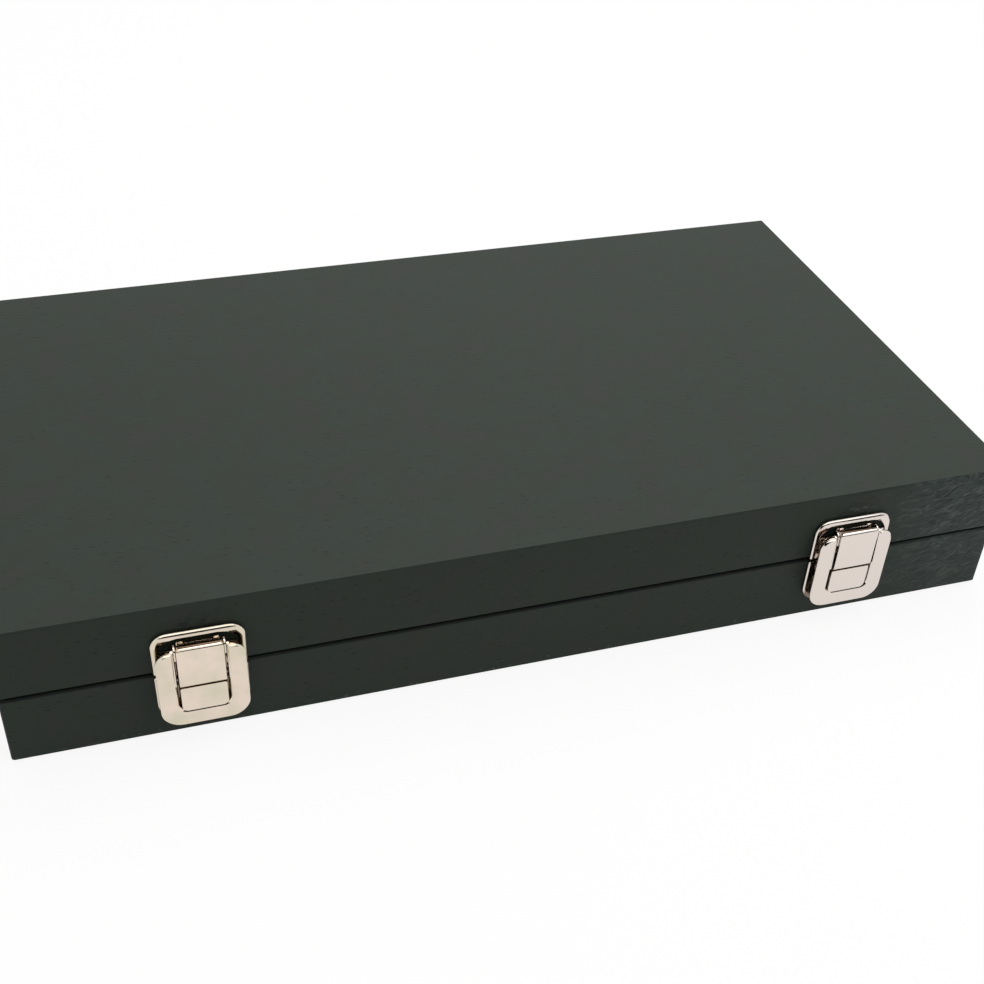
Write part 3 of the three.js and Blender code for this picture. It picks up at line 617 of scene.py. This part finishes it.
def suede_material(settings):
    """Suede cloth, knitted and sanded: a mid grey with a short soft nap and faint brushed clouds."""
    material = new_material("grey_suede_cloth")
    coords = add_node(material, "ShaderNodeTexCoord")
    place = (coords, "Object")
    clouds = add_node(
        material,
        NOISE,
        {"Vector": place, "Scale": 1 / (14 * MM), "Detail": 4.0, "Roughness": 0.6, "Distortion": 0.8},
    )
    # Nap about 0.4 mm, drawn at 0.8 mm so that it shows.
    nap = add_node(
        material, NOISE, {"Vector": place, "Scale": 1 / (0.8 * MM), "Detail": 3.0, "Roughness": 0.65}
    )
    broad = add_node(material, MATH, {0: clouds, 1: 0.6}, operation="MULTIPLY")
    blend = add_node(material, MATH, {0: nap, 1: 0.4, 2: broad}, operation="MULTIPLY_ADD")
    dark, pale = four(settings.pillow_tint, 0.72), four(settings.pillow_tint, 1.22)
    tint = add_node(material, MIX, {"Factor": blend, FIRST: dark, SECOND: pale}, data_type="RGBA")
    bump = add_node(material, "ShaderNodeBump", {"Height": blend, "Strength": 0.6, "Distance": 0.12 * MM})
    return finish_material(
        material,
        {
            "Base Color": (tint, MIXED),
            "Roughness": 0.95,
            "Sheen Weight": 0.3,
            "Sheen Roughness": 0.4,
            "Sheen Tint": four(linear("d8d6d2")),
            "Specular IOR Level": 0.25,
            "Normal": bump,
        },
    )


# Modelling

# Corners of a CAD node's loose triangles that are nearer than this are one.
SAME_PLACE = 0.002 * MM


def deselect_all():
    if bpy.context.object and bpy.context.object.mode != "OBJECT":
        bpy.ops.object.mode_set(mode="OBJECT")
    bpy.ops.object.select_all(action="DESELECT")


def select_only(piece):
    deselect_all()
    piece.select_set(True)
    bpy.context.view_layer.objects.active = piece


def apply_modifier(piece, kind, **settings):
    """Adds a modifier with its settings and applies it."""
    select_only(piece)
    modifier = piece.modifiers.new(kind.lower(), kind)
    for setting, value in settings.items():
        setattr(modifier, setting, value)
    bpy.ops.object.modifier_apply(modifier=modifier.name)


def apply_place(piece):
    """Puts the piece's place in its mesh."""
    select_only(piece)
    bpy.ops.object.transform_apply(location=True, rotation=True, scale=True)


def open_whole(piece):
    """Opens the piece in edit mode with all of it selected."""
    select_only(piece)
    bpy.ops.object.mode_set(mode="EDIT")
    bpy.ops.mesh.select_all(action="SELECT")


def surface_of(piece):
    """The faces of the piece, for rays to hit."""
    mesh = piece.data
    corners = [vertex.co for vertex in mesh.vertices]
    return BVHTree.FromPolygons(corners, [face.vertices for face in mesh.polygons])


def dress(piece, material):
    piece.data.materials.clear()
    piece.data.materials.append(material)


def body_of_node(node):
    return next(body for body, members in BODIES.items() if node in members)


def stand_for(piece, node):
    """The piece rides with a CAD node's body and is shown in its place, while the node is hidden."""
    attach(piece, body_of_node(node))
    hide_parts(node)


def merged_copy(node, name):
    """A copy of a CAD node with its loose triangles joined."""
    select_only(NODES[node])
    bpy.ops.object.duplicate()
    piece = bpy.context.active_object
    piece.name = name
    piece.parent = None
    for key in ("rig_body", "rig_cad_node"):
        del piece[key]
    bpy.ops.mesh.customdata_custom_splitnormals_clear()
    open_whole(piece)
    bpy.ops.mesh.remove_doubles(threshold=SAME_PLACE)
    bpy.ops.object.mode_set(mode="OBJECT")
    return piece


def polished_copy(node, name, edge, material):
    """A copy of a pressed or turned piece with its edges rounded as polishing rounds them."""
    piece = merged_copy(node, name)
    open_whole(piece)
    bpy.ops.mesh.dissolve_limited(angle_limit=math.radians(1))
    bpy.ops.object.mode_set(mode="OBJECT")
    apply_modifier(
        piece,
        "BEVEL",
        width=edge,
        segments=3,
        limit_method="ANGLE",
        angle_limit=math.radians(35),
        use_clamp_overlap=True,
    )
    select_only(piece)
    bpy.ops.object.shade_smooth_by_angle(angle=math.radians(32))
    dress(piece, material)
    stand_for(piece, node)
    return piece


def tube_along(points, radius, name):
    """A closed cord through the points, as a mesh."""
    curve = bpy.data.curves.new(name, "CURVE")
    curve.dimensions = "3D"
    spline = curve.splines.new("POLY")
    spline.points.add(len(points) - 1)
    for target, point in zip(spline.points, points):
        target.co = (*point, 1)
    spline.use_cyclic_u = True
    curve.bevel_depth = radius
    curve.bevel_resolution = 2
    cord = bpy.data.objects.new(name, curve)
    bpy.context.scene.collection.objects.link(cord)
    select_only(cord)
    bpy.ops.object.convert(target="MESH")
    return bpy.context.active_object


def join_into(piece, others):
    deselect_all()
    for other in others:
        other.select_set(True)
    piece.select_set(True)
    bpy.context.view_layer.objects.active = piece
    bpy.ops.object.join()


class WATCHCASE_OT_leatherette(Operator):
    """Covers the base and the lid with leatherette and lays the sheet under the base"""

    bl_idname = "watchcase.leatherette"
    bl_label = "Leatherette"

    def execute(self, context):
        settings = context.scene.watch_case_leatherette
        cover = leatherette_material(settings)
        dress(NODES["base_covering"], cover)
        dress(NODES["lid_covering"], cover)
        dress(NODES["base_bottom_sheet"], paper_material(settings))
        return {"FINISHED"}


class WATCHCASE_OT_boards(Operator):
    """Finishes the fibreboard walls and boards behind the leatherette"""

    bl_idname = "watchcase.boards"
    bl_label = "Boards"

    def execute(self, context):
        board = fibreboard_material(context.scene.watch_case_inside)
        for name, node in NODES.items():
            if name.endswith(("_wall", "_board")):
                dress(node, board)
        return {"FINISHED"}


class WATCHCASE_OT_lining(Operator):
    """Lines both halves with velvet and covers the dividers"""

    bl_idname = "watchcase.lining"
    bl_label = "Lining and Dividers"

    def execute(self, context):
        velvet = velvet_material(context.scene.watch_case_inside)
        for name, node in NODES.items():
            if name.endswith("_lining") or name.startswith("divider_"):
                dress(node, velvet)
        return {"FINISHED"}


# The frames of the pillow's stuffing, and the points round each of its seams.
STUFFING_FRAMES, SEAM_POINTS = 20, 72


class WATCHCASE_OT_pillows(Operator):
    """Stuffs and pipes one watch pillow and lays a copy in each compartment"""

    bl_idname = "watchcase.pillows"
    bl_label = "Watch Pillows"

    def stuff(self, piece, settings):
        """Swells the shrunken pillow by a cloth simulation, with the cloth's travel capped."""
        select_only(piece)
        start = [vertex.co.copy() for vertex in piece.data.vertices]
        cloth = piece.modifiers.new("cloth", "CLOTH")
        cloth.settings.quality = 5
        cloth.settings.mass = 0.2
        cloth.settings.use_pressure = True
        cloth.settings.uniform_pressure_force = settings.pressure
        cloth.settings.tension_stiffness = 12
        cloth.settings.bending_stiffness = 0.4
        cloth.settings.effector_weights.gravity = 0
        cloth.point_cache.frame_start, cloth.point_cache.frame_end = 1, STUFFING_FRAMES
        for step in range(1, STUFFING_FRAMES + 1):
            bpy.context.scene.frame_set(step)
        bpy.ops.object.modifier_apply(modifier=cloth.name)
        bpy.context.scene.frame_set(1)
        for vertex, rest in zip(piece.data.vertices, start):
            travel = vertex.co - rest
            if travel.length > settings.cap:
                vertex.co = rest + travel * (settings.cap / travel.length)

    def fit(self, piece, low, high):
        """Brings the stuffed pillow to the size that its compartment holds."""
        xs, ys, zs = zip(*(vertex.co for vertex in piece.data.vertices))
        small = Vector((min(xs), min(ys), min(zs)))
        large = Vector((max(xs), max(ys), max(zs)))
        for vertex in piece.data.vertices:
            for axis in range(3):
                share_of_way = (vertex.co[axis] - small[axis]) / (large[axis] - small[axis])
                vertex.co[axis] = low[axis] + share_of_way * (high[axis] - low[axis])

    def pucker(self, piece, middle, seam):
        """Draws the cloth in at both seams, with small puckers along them."""
        # The puckers' reach from the seam, their pitch along it, and the pillow's mean radius.
        reach, pitch, mean_radius = 3.2 * MM, 2.1 * MM, 20 * MM
        # In millimetres: a pucker's height, the depth of the seam, and the height of the cloth's slack.
        pucker, draw, loose = 0.14, 0.35, 0.6
        mesh = piece.data
        normals = [vertex.normal.copy() for vertex in mesh.vertices]
        for vertex, normal in zip(mesh.vertices, normals):
            out = abs(vertex.co.x - middle.x) - seam
            turn = math.atan2(vertex.co.z - middle.z, (vertex.co.y - middle.y) * 0.5)
            ripple = math.sin(turn * mean_radius / pitch * math.pi) * math.exp(-((out / reach) ** 2))
            drawn = math.exp(-((out / (0.45 * reach)) ** 2))
            slack = noise.noise(vertex.co * 60) * 0.35 + noise.noise(vertex.co * 140) * 0.15
            vertex.co += normal * MM * (pucker * ripple - draw * drawn + loose * slack)

    def girth(self, piece, middle, x):
        """Points where the pillow's cloth crosses the plane of a seam."""
        cloth = surface_of(piece)
        far_off = 0.2
        points = []
        for index in range(SEAM_POINTS):
            turn = 2 * math.pi * index / SEAM_POINTS
            ray = Vector((0, math.cos(turn), math.sin(turn)))
            start = Vector((x, middle.y, middle.z)) + ray * far_off
            hit = cloth.ray_cast(start, -ray)[0]
            if hit is None:
                raise RuntimeError("the seam misses the pillow")
            points.append(hit)
        return points

    def execute(self, context):
        settings = context.scene.watch_case_inside
        suede = suede_material(settings)
        names = sorted(name for name in NODES if name.startswith("watch_pillow_"))
        low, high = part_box(names[0])
        middle = (low + high) / 2
        model = merged_copy(names[0], "pillow_model")
        open_whole(model)
        bpy.ops.transform.resize(value=(settings.shrink,) * 3, center_override=middle)
        bpy.ops.object.mode_set(mode="OBJECT")
        apply_modifier(model, "REMESH", mode="VOXEL", voxel_size=settings.voxel)
        self.stuff(model, settings)
        apply_modifier(model, "SUBSURF", levels=2, render_levels=2)
        self.fit(model, low, high)
        seam_share = 0.8
        seam = (high.x - middle.x) * seam_share
        self.pucker(model, middle, seam)
        cords = []
        for side in (-1, 1):
            points = self.girth(model, middle, middle.x + side * seam)
            cords.append(tube_along(points, settings.cord, "pillow_cord"))
        join_into(model, cords)
        for vertex in model.data.vertices:
            vertex.co.z = max(vertex.co.z, low.z)
        select_only(model)
        bpy.ops.object.shade_smooth()
        dress(model, suede)
        chance = random.Random(settings.copies_seed)
        for name in names:
            node_low, node_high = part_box(name)
            piece = model.copy()
            piece.data = model.data.copy()
            piece.name = f"stuffed_{name}"
            context.scene.collection.objects.link(piece)
            target = (node_low + node_high) / 2
            flip = chance.choice((-1, 1))
            for vertex in piece.data.vertices:
                from_middle = vertex.co - middle
                vertex.co = target + Vector((from_middle.x * flip, from_middle.y * flip, from_middle.z))
            stand_for(piece, name)
        bpy.data.objects.remove(model)
        return {"FINISHED"}


# The lid panel's thickness at its edge, and the distance of its stitches from that edge.
PANEL_EDGE, STITCH_INSET = 2.2 * MM, 6 * MM


class WATCHCASE_OT_lid_panel(Operator):
    """Pads the panel in the lid, pipes its edge and stitches round it"""

    bl_idname = "watchcase.lid_panel"
    bl_label = "Lid Panel"

    def board(self, size, middle, top):
        """The flat panel, with a lower face of fine squares for the padding to swell."""
        columns, rows = 142, 78
        deselect_all()
        bpy.ops.mesh.primitive_grid_add(
            x_subdivisions=columns, y_subdivisions=rows, size=1, location=(middle.x, middle.y, top)
        )
        panel = bpy.context.active_object
        panel.name = "padded_lid_panel"
        panel.scale = (size.x, size.y, 1)
        apply_place(panel)
        open_whole(panel)
        bpy.ops.mesh.extrude_region_move(TRANSFORM_OT_translate={"value": (0, 0, -size.z)})
        bpy.ops.mesh.select_all(action="SELECT")
        bpy.ops.mesh.normals_make_consistent(inside=False)
        bpy.ops.object.mode_set(mode="OBJECT")
        return panel

    def pad(self, panel, size, middle, top):
        """Swells the panel down, with ripples at its edge and the cloth drawn up along the stitches."""
        # The ripples' pitch, reach from the edge and height; the width and depth of the stitches' furrow.
        pitch, reach, height = 4.4 * MM, 6 * MM, 0.25 * MM
        width, depth = 1.3 * MM, 0.7 * MM
        for vertex in panel.data.vertices:
            if vertex.co.z > middle.z:
                continue
            x_share = abs((vertex.co.x - middle.x) / (size.x / 2))
            y_share = abs((vertex.co.y - middle.y) / (size.y / 2))
            swell = (1 - min(x_share, 1) ** 7) * (1 - min(y_share, 1) ** 7)
            from_end = size.x / 2 - abs(vertex.co.x - middle.x)
            from_side = size.y / 2 - abs(vertex.co.y - middle.y)
            inset = min(from_end, from_side)
            along = vertex.co.x if from_side <= inset + 1e-9 else vertex.co.y
            ripple = math.sin(along / pitch * math.pi) * math.exp(-inset / reach) * height
            slack = noise.noise(vertex.co * 18) * 0.5 * MM + noise.noise(vertex.co * 55) * 0.2 * MM
            drawn = depth * math.exp(-(((inset - STITCH_INSET) / width) ** 2))
            fall = PANEL_EDGE + (size.z - PANEL_EDGE) * swell + (slack + ripple) * swell
            vertex.co.z = top - fall + drawn

    def piping(self, size, middle, top, radius):
        """The cord in the seam round the panel's edge."""
        # The cord turns each corner on this radius, in this many steps.
        corner, steps = 4 * MM, 6
        half_x, half_y = size.x / 2 - radius - corner, size.y / 2 - radius - corner
        ring = []
        for turn, (x_side, y_side) in enumerate(((1, 1), (-1, 1), (-1, -1), (1, -1))):
            for step in range(steps + 1):
                angle = math.pi / 2 * (turn + step / steps)
                x = middle.x + x_side * half_x + corner * math.cos(angle)
                y = middle.y + y_side * half_y + corner * math.sin(angle)
                ring.append((x, y, top - PANEL_EDGE))
        return tube_along(ring, radius, "panel_cord")

    def stitch(self, panel, settings, low, high):
        """A row of stitches a little inside the panel's edge."""
        width, height, rounding = 0.7 * MM, 0.5 * MM, 0.2 * MM
        deselect_all()
        bpy.ops.mesh.primitive_cube_add(size=1, location=(0, 0, 0))
        model = bpy.context.active_object
        model.scale = (0.62 * settings.stitch_pitch, width, height)
        apply_place(model)
        apply_modifier(model, "BEVEL", width=rounding, segments=1)
        cloth = surface_of(panel)
        far_below = low.z - 0.02
        x0, x1 = low.x + STITCH_INSET, high.x - STITCH_INSET
        y0, y1 = low.y + STITCH_INSET, high.y - STITCH_INSET
        corners = [Vector(corner) for corner in ((x0, y0), (x1, y0), (x1, y1), (x0, y1))]
        stitches = []
        for start, end in zip(corners, corners[1:] + corners[:1]):
            count = round((end - start).length / settings.stitch_pitch)
            angle = math.atan2(end.y - start.y, end.x - start.x)
            for index in range(count):
                place = start.lerp(end, (index + 0.5) / count)
                hit = cloth.ray_cast(Vector((place.x, place.y, far_below)), Vector((0, 0, 1)))[0]
                stitch = model.copy()
                stitch.data = model.data.copy()
                bpy.context.scene.collection.objects.link(stitch)
                stitch.location = (place.x, place.y, hit.z)
                stitch.rotation_euler = (0, 0, angle)
                stitches.append(stitch)
        bpy.data.objects.remove(model)
        row = stitches.pop()
        join_into(row, stitches)
        row.name = "lid_panel_stitches"
        apply_place(row)
        dress(row, thread_material(settings))
        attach(row, body_of_node("lid_pad"))

    def execute(self, context):
        settings = context.scene.watch_case_inside
        low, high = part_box("lid_pad")
        size, middle = high - low, (high + low) / 2
        panel = self.board(size, middle, high.z)
        self.pad(panel, size, middle, high.z)
        join_into(panel, [self.piping(size, middle, high.z, settings.cord)])
        select_only(panel)
        bpy.ops.object.shade_smooth_by_angle(angle=math.radians(50))
        dress(panel, bpy.data.materials["black_cotton_velvet"])
        stand_for(panel, "lid_pad")
        self.stitch(panel, settings, low, high)
        return {"FINISHED"}


class WATCHCASE_OT_latches(Operator):
    """Polishes the strikes, base plates, levers and tongues of both latches, and dresses their pins in
    blackened steel
    """

    bl_idname = "watchcase.latches"
    bl_label = "Latches"

    def execute(self, context):
        settings = context.scene.watch_case_nickel
        nickel = nickel_material("polished_nickel_plate", settings)
        finishes = {
            "strike": nickel_material("nickel_plate_with_rolled_rim", settings, rolled=True),
            "base_plate": nickel_material("nickel_plate_painted_shade_in_recess", settings, recess=True),
            "lever": nickel,
            "tongue": nickel_material("nickel_plate_painted_reflection_on_hook", settings, hook=True),
        }
        wire = wire_material(settings)
        for side in ("left", "right"):
            for part, finish in finishes.items():
                node = f"latch_{side}_{part}"
                polished_copy(node, f"polished_{node}", settings.edge, finish)
            for part in ("lever_pin", "tongue_pin"):
                dress(NODES[f"latch_{side}_{part}"], wire)
        return {"FINISHED"}


class WATCHCASE_OT_hinges(Operator):
    """Polishes the hinge leaves and pins and turns the cross-head screws"""

    bl_idname = "watchcase.hinges"
    bl_label = "Hinges"

    def turned_rod(self, radius, start, end, middle, sides):
        """A round rod along Y, on the screw's axis."""
        deselect_all()
        bpy.ops.mesh.primitive_cylinder_add(
            vertices=sides,
            radius=radius,
            depth=end - start,
            location=(middle.x, (start + end) / 2, middle.z),
            rotation=(math.pi / 2, 0, 0),
        )
        rod = bpy.context.active_object
        apply_place(rod)
        return rod

    def screw(self, node, settings, nickel):
        """A domed screw with a cross in its head, in the place of the plain one."""
        low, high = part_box(node)
        middle = (low + high) / 2
        # The head's thickness, the rounding of its edge, and the shank; then the two slots of the cross.
        head, dome, shank_radius = 0.8 * MM, 0.45 * MM, 0.9 * MM
        slot_length, slot_width = 2.4 * MM, 0.55 * MM
        piece = self.turned_rod((high.x - low.x) / 2, high.y - head, high.y, middle, sides=32)
        piece.name = f"turned_{node}"
        bpy.ops.object.mode_set(mode="EDIT")
        bpy.ops.mesh.select_mode(type="FACE")
        bpy.ops.mesh.select_all(action="DESELECT")
        bpy.ops.object.mode_set(mode="OBJECT")
        for face in piece.data.polygons:
            face.select = face.normal.y > FACING
        bpy.ops.object.mode_set(mode="EDIT")
        bpy.ops.mesh.bevel(offset=dome, segments=5, affect="EDGES")
        bpy.ops.object.mode_set(mode="OBJECT")
        shank = self.turned_rod(shank_radius, low.y, high.y - head, middle, sides=20)
        for width, height in ((slot_length, slot_width), (slot_width, slot_length)):
            deselect_all()
            bpy.ops.mesh.primitive_cube_add(size=1, location=(middle.x, high.y, middle.z))
            cutter = bpy.context.active_object
            cutter.scale = (width, 2 * settings.screw_recess, height)
            apply_place(cutter)
            apply_modifier(piece, "BOOLEAN", object=cutter, operation="DIFFERENCE", solver="EXACT")
            bpy.data.objects.remove(cutter)
        join_into(piece, [shank])
        bpy.ops.object.shade_smooth_by_angle(angle=math.radians(35))
        dress(piece, nickel)
        stand_for(piece, node)

    def execute(self, context):
        settings = context.scene.watch_case_nickel
        nickel = bpy.data.materials["polished_nickel_plate"]
        for side in ("left", "right"):
            for part in ("base_leaf", "lid_leaf", "pin"):
                node = f"hinge_{side}_{part}"
                polished_copy(node, f"polished_{node}", settings.edge, nickel)
            for part in ("base_screw_1", "base_screw_2", "lid_screw_1", "lid_screw_2"):
                self.screw(f"hinge_{side}_{part}", settings, nickel)
        return {"FINISHED"}


# The studio, in metres: the floor, the upright planes in front of the table, and the photograph's camera.
FLOOR_SIZE, FLOOR_DROP = 8.0, 0.1 * MM
PLANE_WIDTH, PLANE_DISTANCE = 3.6, 1.9
CAMERA_PLACE, CAMERA_TURN = (-0.13949, -0.45065, 0.3597), (52.6985, -2.4259, -17.1084)


class WATCHCASE_OT_stage(Operator):
    """Lays the pale floor, hangs the soft lights and sets up the camera"""

    bl_idname = "watchcase.stage"
    bl_label = "Stage"

    def background_share(self, material):
        """1 where the camera, a reflection or a view through glass looks at the background."""
        path = add_node(material, "ShaderNodeLightPath")
        seen = add_node(
            material, MATH, {0: (path, "Is Camera Ray"), 1: (path, "Is Glossy Ray")}, operation="MAXIMUM"
        )
        return add_node(material, MATH, {0: seen, 1: (path, "Is Transmission Ray")}, operation="MAXIMUM")

    def floor(self, settings):
        deselect_all()
        bpy.ops.mesh.primitive_plane_add(size=FLOOR_SIZE, location=(0, 0, -FLOOR_DROP))
        floor = bpy.context.active_object
        floor.name = "studio_floor"
        material = new_material("pale_studio_floor")
        diffuse = add_node(material, "ShaderNodeBsdfDiffuse", {"Color": four(settings.floor_tint)})
        white = add_node(material, "ShaderNodeEmission", {"Color": WHITE, "Strength": 1.0})
        # A tenth of the floor's own shade stays, so that it keeps the case's shadow.
        lit = add_node(material, MATH, {0: self.background_share(material), 1: 0.9}, operation="MULTIPLY")
        mixed = add_node(material, "ShaderNodeMixShader", {"Fac": lit, 1: diffuse, 2: white})
        add_node(material, "ShaderNodeOutputMaterial", {"Surface": mixed})
        dress(floor, material)

    def world(self, settings):
        world = bpy.data.worlds.new("studio_world")
        world.use_nodes = True
        world.node_tree.nodes.clear()
        bpy.context.scene.world = world
        ambient = add_node(world, "ShaderNodeBackground", {"Color": WHITE, "Strength": settings.ambient})
        white = add_node(world, "ShaderNodeBackground", {"Color": WHITE, "Strength": 1.0})
        seen = self.background_share(world)
        mixed = add_node(world, "ShaderNodeMixShader", {"Fac": seen, 1: ambient, 2: white})
        add_node(world, "ShaderNodeOutputWorld", {"Surface": mixed})

    def reflected(self, name, low, high, surface):
        """An upright plane in front of the table, seen only in reflections."""
        place, upright = (0, -PLANE_DISTANCE, (low + high) / 2), (math.pi / 2, 0, 0)
        deselect_all()
        bpy.ops.mesh.primitive_plane_add(size=1, location=place, rotation=upright)
        plane = bpy.context.active_object
        plane.name = name
        plane.scale = (PLANE_WIDTH, high - low, 1)
        apply_place(plane)
        for rays in ("camera", "diffuse", "shadow", "transmission"):
            setattr(plane, f"visible_{rays}", False)
        material = new_material(name)
        kind, feeds = surface
        add_node(material, "ShaderNodeOutputMaterial", {"Surface": add_node(material, kind, feeds)})
        dress(plane, material)

    def soft_light(self, name, power, size, place, target):
        light = bpy.data.lights.new(name, "AREA")
        light.shape = "RECTANGLE"
        light.size, light.size_y = size
        light.energy = power
        lamp = bpy.data.objects.new(name, light)
        bpy.context.scene.collection.objects.link(lamp)
        lamp.location = place
        lamp.rotation_euler = (Vector(target) - Vector(place)).to_track_quat("-Z", "Y").to_euler()
        return lamp

    def execute(self, context):
        settings = context.scene.watch_case_studio
        self.floor(settings)
        self.world(settings)
        # Each light has its size, its place and the point it faces, in metres.
        self.soft_light("key_light", settings.key, (2.0, 1.6), (0.35, 0.25, 1.5), (0, 0, 0))
        fill = self.soft_light("fill_light", settings.fill, (0.9, 0.7), (0.95, -1.0, 0.55), (0.1, 0, 0.03))
        fill.visible_glossy = False
        # A dark card and a bright strip above it give the metal's edges their lines.
        card = ("ShaderNodeBsdfDiffuse", {"Color": four(linear("1c1c1c"))})
        strip = ("ShaderNodeEmission", {"Color": WHITE, "Strength": 1.7})
        self.reflected("black_card", 0.3, 1.43, card)
        self.reflected("bright_strip", 1.45, 2.3, strip)
        lens = bpy.data.cameras.new("photo_camera")
        lens.lens, lens.sensor_width, lens.sensor_fit = settings.lens, 36.0, "HORIZONTAL"
        lens.clip_start, lens.clip_end = 0.01, 50.0
        camera = bpy.data.objects.new("photo_camera", lens)
        context.scene.collection.objects.link(camera)
        camera.location = CAMERA_PLACE
        camera.rotation_euler = [math.radians(angle) for angle in CAMERA_TURN]
        context.scene.camera = camera
        context.scene.view_settings.view_transform = "Standard"
        return {"FINISHED"}


class WATCHCASE_PT_panel(Panel):
    bl_idname = "WATCHCASE_PT_panel"
    bl_label = "Watch Case"
    bl_space_type = "VIEW_3D"
    bl_region_type = "UI"
    bl_category = "Watch Case"

    def draw(self, context):
        for step in STEPS:
            self.layout.operator(step.bl_idname)
        for name, group in GROUPS.items():
            box = self.layout.box()
            for field in group.__annotations__:
                box.prop(getattr(context.scene, name), field)


STEPS = (
    WATCHCASE_OT_leatherette,
    WATCHCASE_OT_boards,
    WATCHCASE_OT_lining,
    WATCHCASE_OT_pillows,
    WATCHCASE_OT_lid_panel,
    WATCHCASE_OT_latches,
    WATCHCASE_OT_hinges,
    WATCHCASE_OT_stage,
)


def register():
    for group in GROUPS.values():
        bpy.utils.register_class(group)
    for name, group in GROUPS.items():
        setattr(bpy.types.Scene, name, PointerProperty(type=group))
    for step in (*STEPS, WATCHCASE_PT_panel):
        bpy.utils.register_class(step)


def unregister():
    for step in reversed((*STEPS, WATCHCASE_PT_panel)):
        bpy.utils.unregister_class(step)
    for name, group in reversed(GROUPS.items()):
        delattr(bpy.types.Scene, name)
        bpy.utils.unregister_class(group)


def main():
    register()
    bpy.ops.watchcase.leatherette()
    bpy.ops.watchcase.boards()
    bpy.ops.watchcase.lining()
    bpy.ops.watchcase.pillows()
    bpy.ops.watchcase.lid_panel()
    bpy.ops.watchcase.latches()
    bpy.ops.watchcase.hinges()
    bpy.ops.watchcase.stage()


if __name__ == "__main__":
    main()
